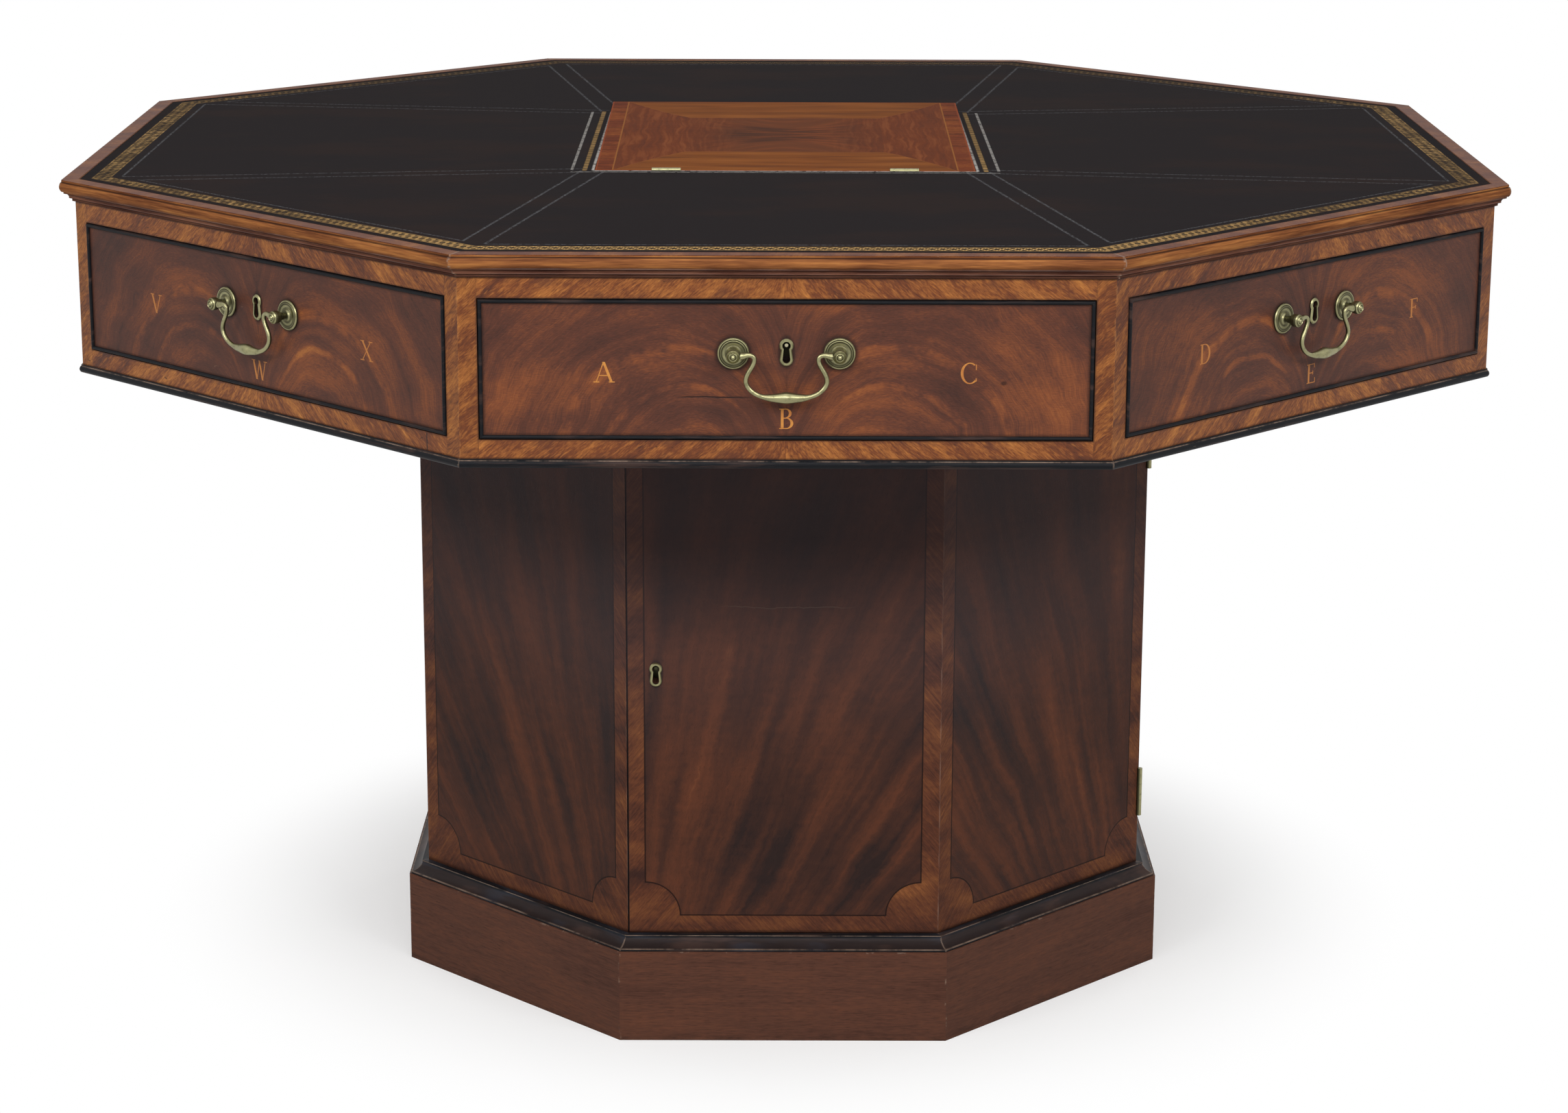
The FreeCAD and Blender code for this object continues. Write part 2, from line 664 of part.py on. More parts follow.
def cockbead_bar(reach):
    """A long cockbead strip whose outer edge lies reach above the X axis."""
    nose_r = COCKBEAD_WIDE / 2
    nose = front_out + COCKBEAD_PROUD
    foot = reach - COCKBEAD_WIDE
    foot_back, foot_front = V(-ample, -front_in, foot), V(-ample, nose_r - nose, foot)
    tip = V(-ample, -nose, reach - nose_r)
    top_front, top_back = V(-ample, nose_r - nose, reach), V(-ample, -front_in, reach)
    edges = [
        Part.makeLine(foot_back, foot_front),
        Part.Arc(foot_front, tip, top_front).toShape(),
        Part.makeLine(top_front, top_back),
        Part.makeLine(top_back, foot_back),
    ]
    return Part.Face(Part.Wire(edges)).extrude(V(2 * ample, 0, 0))


def mitre_room(turn, half_high):
    """The part of the drawer front's outline that one cockbead strip may fill, about the front's middle."""
    wide, reach = front_half, front_half - half_high
    corners = [(-wide, half_high), (wide, half_high), (wide, -half_high), (-wide, -half_high)]
    centres = [(-reach, 0), (reach, 0), (reach, 0), (-reach, 0)]
    after = (turn + 1) % len(corners)
    plan = [corners[turn], corners[after], centres[after]]
    if turn % 2 == 0:
        plan.append(centres[turn])
    points = [V(x, -front_in, level) for x, level in plan]
    face = Part.Face(Part.makePolygon(points + points[:1]))
    return face.extrude(V(0, -FRONT_THICK - 2 * COCKBEAD_PROUD, 0))


def lock_block():
    """The drawer lock's case, let into the back of the front."""
    half = LOCK_WIDE / 2
    return block(-half, half, front_in, front_in + LOCK_THICK, core_high - LOCK_TALL, core_high)


def bolt_block(ease, low, high):
    """The drawer bolt's upright block, eased all round."""
    middle = front_in + LOCK_THICK / 2
    half_wide, half_thick = BOLT_WIDE / 2 + ease, BOLT_THICK / 2 + ease
    return block(-half_wide, half_wide, middle - half_thick, middle + half_thick, low, high)


def drawer_fittings():
    """Rosettes, posts, nuts, escutcheon, and the lock case with its key pin."""
    solids = []
    eye = POST_HEAD_R + BAIL_END_GAP
    for side in (-1, 1):
        x = side * POST_SPACING / 2
        rosette = lathe([(along * ROSETTE_THICK, radius * ROSETTE_R) for along, radius in ROSETTE_SHARES])
        hole = Part.makeCylinder(POST_WAIST_R + HOLE_EASE, ROSETTE_THICK)
        solids.append(on_face(rosette.cut(hole).Solids[0], x, front_out, handle_level))
        head = lathe([(along * POST_LONG, radius * POST_HEAD_R) for along, radius in POST_SHARES])
        stem_foot = -FRONT_THICK - NUT_THICK
        stem = Part.makeCylinder(POST_WAIST_R, POST_REACH - stem_foot, V(0, 0, stem_foot))
        post = on_face(head.fuse(stem).removeSplitter(), x, front_out, handle_level)
        eye_mouth = V(x - side * eye, -handle_out, handle_level)
        bore_r, bore_long = BAIL_PIN_R + BAIL_PIN_EASE, eye - POST_WAIST_R
        bore = Part.makeCylinder(bore_r, bore_long, eye_mouth, V(side, 0, 0))
        solids.append(post.cut(bore).Solids[0])
        nut = Part.makeCylinder(NUT_R, NUT_THICK)
        nut = nut.cut(Part.makeCylinder(POST_WAIST_R + HOLE_EASE, NUT_THICK))
        solids.append(on_face(nut.Solids[0], x, front_in - NUT_THICK, handle_level))
    solids.append(on_face(escutcheon(), 0, front_out, keyhole_level))
    lock = lock_block().cut(bolt_block(BOLT_EASE, core_high - BOLT_LONG - BOLT_EASE, core_high))
    pin_long = FRONT_THICK - LOCK_THICK - KEY_PIN_SHORT
    pin = round_bar(KEY_PIN_R, pin_long, front_in + LOCK_THICK, 0, keyhole_level)
    solids.append(lock.fuse(pin).removeSplitter().Solids[0])
    return solids


def drawer_bolt():
    top = front_high - BOLT_SINK
    return bolt_block(0, top - BOLT_LONG, top)


def bail():
    """A swan-neck bail, from one post's eye to the other, hanging straight down."""
    half = POST_SPACING / 2
    centres, radii = [], []
    for number, (x, drop, blend) in enumerate(BAIL_PATH_SHARES):
        full = BAIL_SWELL_R if number >= BAIL_SWELL_START else BAIL_COLLAR_R
        centres.append(V(-x * half, -drop * BAIL_DROP, 0))
        radii.append(BAIL_NECK_R + (full - BAIL_NECK_R) * blend)
    centres += [V(-point.x, point.y, 0) for point in reversed(centres[:-1])]
    radii += list(reversed(radii[:-1]))
    line = Part.BSplineCurve()
    line.interpolate(Points=centres, InitialTangent=V(1, 0, 0), FinalTangent=V(1, 0, 0))
    rings = []
    for centre, radius in zip(centres, radii):
        way = line.tangent(line.parameter(centre))[0]
        ring = Part.makeCircle(radius, V(0, 0, 0), V(1, 0, 0))
        ring.rotate(V(0, 0, 0), V(0, 0, 1), math.degrees(math.atan2(way.y, way.x)))
        ring.translate(centre)
        rings.append(Part.Wire([ring]))
    end = BAIL_PATH_SHARES[0][0] * half
    pin_long = half - end - POST_WAIST_R - BAIL_END_GAP
    pin = Part.makeCylinder(BAIL_PIN_R, pin_long, V(-end, 0, 0), V(-1, 0, 0))
    left_side = Part.makeBox(ample, 2 * ample, 2 * ample, V(-ample, -ample, -ample))
    arm = Part.makeLoft(rings, True).common(left_side).fuse(pin)
    solid = arm.fuse(arm.mirror(V(0, 0, 0), V(1, 0, 0)))
    return on_face(solid.removeSplitter().Solids[0], 0, handle_out, handle_level)


def drawers():
    """Eight like drawers, numbered from the front face, turning towards the right-hand side."""
    groups = {"": drawer_wood(), "_cockbead": drawer_cockbead(), "_brass": drawer_fittings(),
              "_bail": [bail()], "_bolt": [drawer_bolt()]}
    for face in range(SIDES):
        for ending, solids in groups.items():
            name = "drawer_" + str(face + 1) + ending
            save(name, [turned(solid, face) for solid in solids])


# Pedestal and its door

def plinth():
    """Mitred plinth boards with an ebonised cove moulding on top."""
    save("plinth_boards", all_round(mitred_board(pedestal_out, plinth_out, 0, PLINTH_HEIGHT)))
    foot, top = pedestal_out + PLINTH_MOULD_FOOT, pedestal_out + PLINTH_MOULD_TOP
    cove_low = PLINTH_HEIGHT + PLINTH_MOULD_HEIGHT * COVE_FOOT_SHARE
    cove_high = PLINTH_HEIGHT + PLINTH_MOULD_HEIGHT * COVE_TOP_SHARE
    across, up = COVE_MIDDLE_SHARES
    reach = foot - top
    middle = (top + reach * across, cove_low + (cove_high - cove_low) * (1 - up))
    steps = [(pedestal_out, PLINTH_HEIGHT), (foot, PLINTH_HEIGHT), (foot, cove_low),
             (middle, (top, cove_high)), (top, cupboard_floor), (pedestal_out, cupboard_floor)]
    save("plinth_moulding", all_round(mitred_mould(steps)))


def door_slots():
    """The clearance planes at the door's closing arris and at its hinge arris."""
    plane = block(-DOOR_GAP / 2, DOOR_GAP / 2, 0, ample, 0, ample)
    slots = []
    for turn in (-0.5, DOOR_FACE_COUNT - 0.5):
        slots.append(turned(plane, turn))
    return Part.makeCompound(slots)


def corner_block(low):
    """A glue block in the corner on the right of the front face."""
    corner = (panel_in * HALF_TAN, panel_in)
    near = (corner[0] - BLOCK_LEG, panel_in)
    return prism([near, corner, mirrored(near)], low, low + BLOCK_LONG)


def pedestal_carcase():
    """Fixed panels, aprons under the door, glue blocks and the top board."""
    panel = mitred_board(panel_in, pedestal_out, PANEL_FOOT_GAP, pedestal_head)
    apron = mitred_board(panel_in, pedestal_out, PANEL_FOOT_GAP, cupboard_floor)
    pockets = Part.makeCompound(door_hinge_set()[2] + [keeper_void()])
    solids = [turned(apron, face) for face in DOOR_FACES]
    for face in FIXED_FACES:
        board = turned(panel, face)
        if face in (FIXED_FACES[0], KEEPER_FACE):
            tall = block(-ample, ample, -ample, ample, cupboard_floor, pedestal_head)
            board = board.cut(door_slots().common(tall)).cut(pockets).Solids[0]
        solids.append(board)
    for face in FIXED_FACES[:-1]:
        for low in (cupboard_floor + BLOCK_END_GAP, pedestal_head - BLOCK_END_GAP - BLOCK_LONG):
            solids.append(turned(corner_block(low), face))
    head = prism(octagon([pedestal_out] * SIDES), pedestal_head, ring_foot)
    bore = Part.makeCylinder(SPINDLE_R + HOLE_EASE, PEDESTAL_TOP_THICK, V(0, 0, pedestal_head))
    save("pedestal_carcase", solids + [head.cut(bore).Solids[0]])


def cupboard_boards():
    """Floor of the cupboard, its shelf and the battens under the shelf."""
    floor = prism(octagon([panel_in] * SIDES), cupboard_floor - FLOOR_THICK, cupboard_floor)
    edges = [panel_in - SHELF_EASE] * SIDES
    for face in DOOR_FACES:
        edges[face] = panel_in - SHELF_SETBACK
    shelf = prism(octagon(edges), SHELF_LEVEL, SHELF_LEVEL + SHELF_THICK)
    half = BATTEN_LONG / 2
    batten = block(-half, half, panel_in - BATTEN_DEEP, panel_in, SHELF_LEVEL - BATTEN_TALL, SHELF_LEVEL)
    save("cupboard_boards", [floor, shelf] + [turned(batten, face) for face in FIXED_FACES])


def turning_gear():
    """Spindle with its flange and screws, washer and nut, and the ring that the drum runs on."""
    washer_foot = bay_low + TURN_GAP
    nut_foot = washer_foot + WASHER_THICK
    spindle_top = nut_foot + SPINDLE_NUT_THICK + SPINDLE_SHOW
    flange_foot = pedestal_head - SPINDLE_FLANGE_THICK
    bar = Part.makeCylinder(SPINDLE_R, spindle_top - flange_foot, V(0, 0, flange_foot))
    flange = Part.makeCylinder(SPINDLE_FLANGE_R, SPINDLE_FLANGE_THICK, V(0, 0, flange_foot))
    solids = [bar.fuse(flange).removeSplitter().Solids[0]]
    reach = (SPINDLE_R + SPINDLE_FLANGE_R) / 2
    for number in range(FLANGE_SCREWS):
        angle = math.radians(FULL_TURN_DEG / FLANGE_SCREWS * (number + 0.5))
        place = V(reach * math.cos(angle), reach * math.sin(angle), flange_foot - FLANGE_SCREW_HEAD)
        solids.append(Part.makeCone(FLANGE_SCREW_R / 2, FLANGE_SCREW_R, FLANGE_SCREW_HEAD, place))
    hole = Part.makeCylinder(SPINDLE_R + HOLE_EASE, ample)
    washer = Part.makeCylinder(WASHER_R, WASHER_THICK, V(0, 0, washer_foot))
    turns = [math.radians(FULL_TURN_DEG / NUT_SIDES * number) for number in range(NUT_SIDES)]
    corners = [(NUT_ACROSS_R * math.cos(turn), NUT_ACROSS_R * math.sin(turn)) for turn in turns]
    nut = prism(corners, nut_foot, nut_foot + SPINDLE_NUT_THICK)
    ring = Part.makeCylinder(WEAR_RING_R, WEAR_RING_THICK, V(0, 0, ring_foot))
    ring_in = WEAR_RING_R - WEAR_RING_WIDE
    ring = ring.cut(Part.makeCylinder(ring_in, WEAR_RING_THICK, V(0, 0, ring_foot)))
    solids += [washer.cut(hole).Solids[0], nut.cut(hole).Solids[0], ring.Solids[0]]
    save("spindle", solids)


def door_hinge_set():
    """Fixed leaves, moving leaves, and the pockets of both sides, at the door's two hinges."""
    made = butt_hinge(DOOR_HINGE_LONG, DOOR_LEAF_DEEP, DOOR_BARREL_R, DOOR_GAP)
    made += hinge_pockets(DOOR_HINGE_LONG, DOOR_LEAF_DEEP, DOOR_BARREL_R, DOOR_GAP)
    angle = math.radians(-STEP_DEG / 2)
    away, beside = V(math.cos(angle), math.sin(angle), 0), V(math.sin(angle), -math.cos(angle), 0)
    matrix = FreeCAD.Matrix(0, beside.x, away.x, 0, 0, beside.y, away.y, 0, 1, 0, 0, 0, 0, 0, 0, 1)
    sets = [[], [], [], []]
    for level in (door_low + DOOR_HINGE_INSET, door_high - DOOR_HINGE_INSET):
        place = away * (arris_r + DOOR_AXIS_OUT) + V(0, 0, level)
        for group, shape in zip(sets, made):
            copy = shape.copy()
            copy.transformShape(matrix)
            copy.translate(place)
            group.append(copy)
    return sets


def door_key_x():
    return -pedestal_out * HALF_TAN + DOOR_KEY_INSET


def door_bolt_block(ease, slide):
    """The door bolt's lying block, eased all round and slid towards the closing arris."""
    middle = panel_in - DOOR_LOCK_THICK / 2
    start = door_key_x() - DOOR_LOCK_WIDE / 2 + DOOR_BOLT_SINK - slide
    half_wide, half_thick = BOLT_WIDE / 2 + ease, BOLT_THICK / 2 + ease
    return block(start - ease, start + BOLT_LONG + ease, middle - half_thick, middle + half_thick,
                 DOOR_KEY_LEVEL - half_wide, DOOR_KEY_LEVEL + half_wide)


def keeper_void():
    return door_bolt_block(MORTISE_SPARE, DOOR_BOLT_THROW)


def cupboard_door():
    """The two-faced door, its hinge leaves, escutcheon, lock and bolt."""
    fixed, moving, _, pockets = door_hinge_set()
    board = mitred_board(panel_in, pedestal_out, door_low, door_high)
    hole = on_face(keyhole(PANEL_THICK), door_key_x(), panel_in, DOOR_KEY_LEVEL)
    first = board.cut(door_slots()).cut(hole).Solids[0]
    second = turned(board, DOOR_FACES[-1]).cut(door_slots())
    second = second.cut(Part.makeCompound(pockets)).Solids[0]
    block_levels = door_low + BLOCK_END_GAP, door_high - BLOCK_END_GAP - BLOCK_LONG
    save("cupboard_door", [first, second] + [corner_block(low) for low in block_levels])
    half_wide, half_tall = DOOR_LOCK_WIDE / 2, DOOR_LOCK_TALL / 2
    lock = block(door_key_x() - half_wide, door_key_x() + half_wide, panel_in - DOOR_LOCK_THICK, panel_in,
                 DOOR_KEY_LEVEL - half_tall, DOOR_KEY_LEVEL + half_tall)
    for slide in (0, DOOR_BOLT_THROW):
        lock = lock.cut(door_bolt_block(BOLT_EASE, slide))
    pin = round_bar(KEY_PIN_R, PANEL_THICK - KEY_PIN_SHORT, panel_in, door_key_x(), DOOR_KEY_LEVEL)
    plate = on_face(escutcheon(), door_key_x(), pedestal_out, DOOR_KEY_LEVEL)
    save("door_brass", moving + [plate, lock.fuse(pin).removeSplitter().Solids[0]])
    save("door_bolt", [door_bolt_block(0, 0)])
    save("door_hinge_fixed", fixed)


def main():
    os.makedirs("parts", exist_ok=True)
    for make in (edge_mouldings, bead_mouldings, top_boards, leather_panels, drum_board, drum_frame,
                 drum_partitions, well_box, well_lid, drawers, plinth, pedestal_carcase, cupboard_boards,
                 turning_gear, cupboard_door):
        make()


main()
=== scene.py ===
import bmesh
import bpy
import json
import math
from bpy.props import FloatProperty, FloatVectorProperty, PointerProperty
from mathutils import Matrix, Vector


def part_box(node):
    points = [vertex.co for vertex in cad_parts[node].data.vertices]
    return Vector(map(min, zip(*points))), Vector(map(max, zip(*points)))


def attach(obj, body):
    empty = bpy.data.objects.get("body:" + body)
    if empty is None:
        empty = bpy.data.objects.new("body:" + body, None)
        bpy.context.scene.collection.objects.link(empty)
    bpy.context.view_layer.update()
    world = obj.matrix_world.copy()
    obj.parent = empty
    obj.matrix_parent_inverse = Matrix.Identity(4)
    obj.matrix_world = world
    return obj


bl_info = {
    "name": "Rent Table",
    "version": (1, 0, 0),
    "blender": (4, 5, 0),
    "location": "3D View > Sidebar > Rent Table",
    "description": "Camera, light, inlaid letters and the finish of every board of an octagonal rent table",
    "category": "Object",
}

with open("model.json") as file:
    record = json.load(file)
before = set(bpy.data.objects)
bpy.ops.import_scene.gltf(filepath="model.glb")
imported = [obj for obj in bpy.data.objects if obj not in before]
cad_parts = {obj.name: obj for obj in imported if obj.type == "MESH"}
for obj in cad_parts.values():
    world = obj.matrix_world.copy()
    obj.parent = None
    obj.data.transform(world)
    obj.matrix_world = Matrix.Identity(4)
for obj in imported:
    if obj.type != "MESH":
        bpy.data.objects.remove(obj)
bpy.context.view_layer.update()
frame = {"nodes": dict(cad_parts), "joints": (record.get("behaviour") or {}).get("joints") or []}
nodes = frame["nodes"]

SIDES = 8
STEP = 2 * math.pi / SIDES
HALF_TAN = math.tan(STEP / 2)
MM = 0.001

# Photograph, in pixels, and the camera that sees the table as it does
PHOTO_WIDE = 2288
FOCAL_PIXELS = 5315.353
SENSOR_MM = 36.0
CAMERA_PLACE = (-0.010483, -3.447246, 1.260666)
CAMERA_YAW_DEG = 0.186
CAMERA_PITCH_DEG = -14.625
CAMERA_ROLL_DEG = 0.221

# Outlines of the frame that the finishes follow
top_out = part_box("edge_moulding")[1].x
top_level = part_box("edge_moulding")[1].z
drum_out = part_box("drum_rails")[1].x
drum_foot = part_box("drum_rails")[0].z
drum_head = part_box("drum_rails")[1].z
leather_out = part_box("leather_panels")[1].x
front_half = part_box("drawer_1_cockbead")[1].x
front_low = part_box("drawer_1_cockbead")[0].z
front_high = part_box("drawer_1_cockbead")[1].z
pedestal_out = -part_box("cupboard_door")[0].y
pedestal_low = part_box("plinth_moulding")[1].z
pedestal_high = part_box("cupboard_door")[1].z
plinth_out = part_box("plinth_boards")[1].x
plinth_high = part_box("plinth_boards")[1].z
lid_half_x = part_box("well_lid")[1].x
lid_half_y = -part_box("well_lid")[0].y
bail_joint = next(j for j in frame["joints"] if j["name"] == "drawer_1_bail_swing")
handle_level = bail_joint["pos_m"][2]

# Sizes of the drawer fronts and their fittings
COCKBEAD_WIDE = 3.0 * MM
FRONT_SINK = 0.5 * MM
FRONT_THICK = 20.0 * MM
OPENING_GAP = 0.8 * MM
POST_X = 42.0 * MM
ROSETTE_R = 12.7 * MM
DISH_R = 9.4 * MM
GROOVE_R = 10.9 * MM
COLLAR_R = 6.0 * MM
PLATE_RISE = 0.8 * MM
DOOR_KEY_X = -114.0 * MM
DOOR_KEY_LEVEL = 341.0 * MM
VENEER = 1.0 * MM
CORE = 1.2 * MM

# Tooling of the leather: distances from the hatch, and the pitches of the gilt patterns
HATCH_GILT = 8.6 * MM
HATCH_LINE = 20.0 * MM
CHAIN_PITCH = 17.0 * MM
HATCHING_PITCH = 2.4 * MM
BAR_PITCH = 15.0 * MM

# Places that the finishes follow on the faces
front_out = drum_out - FRONT_SINK
core_half = front_half - COCKBEAD_WIDE
core_low = front_low + COCKBEAD_WIDE
core_high = front_high - COCKBEAD_WIDE
bay_half = front_half + OPENING_GAP
bay_low = front_low - OPENING_GAP
bay_high = front_high + OPENING_GAP
hatch_x = lid_half_x + OPENING_GAP
hatch_y = lid_half_y + OPENING_GAP

# Letters: stroke widths, serifs and the places on a front, as shares of the cap height or the front
THICK_SHARE = 0.13
THIN_SHARE = 0.046
SERIF_SHARE = 0.08
ARC_STEPS = 24
LETTER_DEEP = 0.3 * MM
LETTER_PLACE_SHARES = ((0.20, 0.52), (0.50, 0.87), (0.80, 0.52))
STROKE_WIDTHS = {"thick": THICK_SHARE, "hair": THIN_SHARE * 1.2, "thin": THIN_SHARE}

# Strokes of Roman capitals one unit high on the x axis: a kind of stroke, then the numbers for its function
LETTER_PARTS = {
    "A": "line .06 0 .42 1 hair; line .8 0 .42 1 thick; bar .18 .66 .34; serif .07 0; serif .81 0",
    "B": "post .16; bar .16 .34 1; bar .16 .36 .53; bar .16 .36 0; bowl .33 .765 .28 .235 -90 90;"
         "bowl .35 .279 .34 .279 -90 90",
    "C": "bowl .48 .5 .44 .52 48 312; beak .78 .66 .27; beak .78 .1 .16",
    "D": "post .16; bar .16 .36 1; bar .16 .36 0; bowl .35 .5 .46 .5 -90 90",
    "E": "post .16; bar .16 .64 1; bar .16 .5 .53; bar .16 .68 0;"
         "beak .63 .78 .22; beak .67 0 .26; beak .5 .43 .2",
    "F": "post .16; bar .16 .64 1; bar .16 .5 .53; beak .63 .78 .22; beak .5 .43 .2",
    "G": "bowl .48 .5 .44 .52 48 318; beak .78 .66 .27; serif .76 .42; line .76 .06 .76 .42 thick",
    "H": "post .16; post .76; bar .16 .76 .52",
    "I": "post .3",
    "J": "line .42 .2 .42 1 thick; serif .42 1; bowl .245 .2 .25 .2 180 360",
    "K": "post .16; line .22 .44 .68 1 hair; serif .68 1; line .8 0 .36 .6 thick; serif .8 0",
    "L": "post .16; bar .16 .66 0; beak .65 0 .28",
    "M": "line .12 0 .12 1 thin; serif .12 0; serif .14 1; line .5 .02 .16 1 thick; line .5 .02 .86 1 thin;"
         "serif .9 0; serif .9 1; line .9 0 .9 1 thick",
    "N": "line .14 0 .14 1 thin; line .78 0 .78 1 thin; serif .14 0; serif .14 1;"
         "serif .78 1; line .74 0 .18 1 thick",
    "O": "bowl .48 .5 .45 .52 0 360",
    "P": "post .16; bar .16 .36 1; bar .16 .36 .46; bowl .34 .73 .31 .27 -90 90",
    "Q": "bowl .48 .5 .45 .52 0 360; line .94 -.22 .44 .1 thick",
    "R": "post .16; bar .16 .36 1; bar .16 .36 .48; bowl .34 .74 .3 .26 -90 90;"
         "line .8 0 .41 .49 thick; serif .82 0",
    "S": "bowl .36 .755 .29 .265 40 268; bowl .36 .262 .31 .28 -140 92; beak .575 .74 .24; beak .12 .04 .24",
    "T": "line .38 0 .38 1 thick; serif .38 0; bar .04 .72 1; beak .06 .76 .24; beak .7 .76 .24",
    "U": "line .16 .32 .16 1 thick; line .74 .32 .74 1 thin; serif .16 1; serif .74 1;"
         "bowl .425 .32 .34 .33 180 360",
    "V": "line .42 0 .08 1 thick; line .42 0 .78 1 hair; serif .08 1; serif .78 1",
    "W": "line .34 0 .08 1 thick; line .34 0 .58 1 hair; line .8 0 .56 1 thick; line .8 0 1.06 1 hair;"
         "serif .08 1; serif 1.06 1",
    "X": "line .76 0 .1 1 thick; line .08 0 .74 1 hair; serif .1 1; serif .74 1; serif .08 0; serif .76 0",
}

# Lamps stand LAMP_AWAY metres from the table's middle and look at it: name, degrees round from the front,
# degrees up, watts, and whether it shows in a gloss
LAMP_AWAY = 4.5
LAMP_SIZE = (2.4, 1.0)
LAMPS = (
    ("lamp_left", -40.0, 29.0, 74.0, True), ("lamp_front", 0.0, 29.0, 62.0, True),
    ("lamp_right", 40.0, 29.0, 74.0, True), ("lamp_back_left", -140.0, 6.0, 64.0, False),
    ("lamp_back_right", 140.0, 6.0, 64.0, False),
)
OVER_PLACE = (0.0, -0.8, 3.7)
OVER_SIZE = (2.6, 2.6)
OVER_WATTS = 24.0
AIM_LEVEL = 0.5

# Floor, which turns into the white background between two distances from a point under the table
FLOOR_RADIUS = 24.0
FLOOR_INSET = 18.0
FLOOR_CENTRE_Y = 0.05
FLOOR_FADE = (0.36, 0.64)
FLOOR_GREY = 0.57
FLOOR_GLOW = 0.42
ROOM_LIGHT = 0.15
WHITE = (1.0, 1.0, 1.0, 1.0)
SEEN_RAYS = ("Is Camera Ray", "Is Glossy Ray", "Is Transmission Ray")


def paint(red, green, blue):
    """A linear colour from the 0 to 255 values that a colour picker shows."""
    def linear(value):
        share = value / 255
        return share / 12.92 if share <= 0.04045 else ((share + 0.055) / 1.055) ** 2.4
    return tuple(linear(value) for value in (red, green, blue))


def colour(name, description, *values):
    return FloatVectorProperty(name=name, description=description, subtype="COLOR", size=3, min=0.0, max=1.0,
                               default=paint(*values))


def length(name, description, value):
    return FloatProperty(name=name, description=description, unit="LENGTH", min=0.0, default=value)


class RentTableWoods(bpy.types.PropertyGroup):
    """Colours of the woods."""
    flame_dark: colour("Flame, dark", "Dark figure of the drawer fronts", 58, 38, 33)
    flame_body: colour("Flame, body", "Body colour of the drawer fronts", 86, 51, 39)
    flame_light: colour("Flame, light", "Orange figure of the drawer fronts", 124, 71, 43)
    band_dark: colour("Crossband, dark", "Dark figure of the crossbanding", 76, 42, 30)
    band_body: colour("Crossband, body", "Body colour of the crossbanding", 114, 63, 34)
    band_light: colour("Crossband, light", "Golden figure of the crossbanding", 158, 98, 48)
    ribbon_dark: colour("Ribbon, dark", "Dark ribbons of the pedestal", 44, 33, 31)
    ribbon_body: colour("Ribbon, body", "Body colour of the pedestal", 66, 42, 34)
    ribbon_light: colour("Ribbon, light", "Red-brown ribbons of the pedestal", 92, 54, 38)
    plinth_body: colour("Plinth", "Body colour of the plinth boards", 84, 55, 44)
    moulding_body: colour("Edge", "Body colour of the moulded edge", 130, 81, 48)
    lid_gold: colour("Lid, gold", "Golden bands of the lid", 116, 69, 27)
    lid_red: colour("Lid, red", "Red wavy ends of the lid", 100, 52, 26)
    lid_dark: colour("Lid, dark", "Dark middle of the lid", 78, 45, 29)
    oak: colour("Oak", "Inner boards and drawer linings", 140, 106, 70)
    ebony: colour("Ebonised wood", "Blackened mouldings", 22, 23, 26)
    boxwood: colour("Boxwood", "Inlaid letters", 192, 132, 64)
    stringing: colour("Stringing", "Dark inlaid lines", 24, 18, 16)


class RentTableTrim(bpy.types.PropertyGroup):
    """Colours of the leather and the metals."""
    leather: colour("Leather", "Writing leather", 30, 26, 27)
    leather_brown: colour("Leather, rubbed", "Brown rubbed patches of the leather", 38, 29, 27)
    blind: colour("Blind tooling", "Grey pressed lines of the leather", 84, 84, 86)
    gilt: colour("Gilt tooling", "Gilt bands of the leather", 176, 138, 76)
    brass: colour("Brass", "Handles, escutcheons and hinges", 147, 143, 107)
    patina: colour("Brass, patina", "Dark brass in the hollows", 48, 45, 32)
    iron: colour("Iron", "Spindle and lock bolts", 96, 92, 88)
    # This pale colour also paints the top-edge lines of the ebonised mouldings, partly as painted highlight.
    wear: colour("Wear", "Pale nicks and rubbed arrises", 152, 130, 114)


class RentTableSizes(bpy.types.PropertyGroup):
    """Sizes of the inlays and tooling."""
    letter_height: length("Letter height", "Cap height of the inlaid letters", 16.5 * MM)
    letter_proud: length("Letter rise", "How far a letter stands over the veneer", 0.07 * MM)
    border: length("Border", "Width of the pedestal's crossbanded borders", 16.0 * MM)
    corner: length("Corner", "Radius of the border's quarter-round corners", 31.5 * MM)
    line: length("Stringing", "Width of the dark inlaid lines", 0.8 * MM)
    plume_high: length("Plume height", "Rise of the flame figure", 90.0 * MM)
    plume_half: length("Plume half width", "Half width of the flame figure", 80.0 * MM)
    clamp: length("Clamp", "Width of the lid's end clamps", 16.0 * MM)
    gilt_out: length("Gilt band, outside", "Distance from the middle to the gilt band's outside", 612.0 * MM)
    gilt_in: length("Gilt band, inside", "Distance from the middle to the gilt band's inside", 596.0 * MM)
    blind_out: length("Blind line", "Distance from the middle to the blind line", 587.0 * MM)
    seam: length("Seam", "Distance between the paired lines beside a seam", 21.0 * MM)


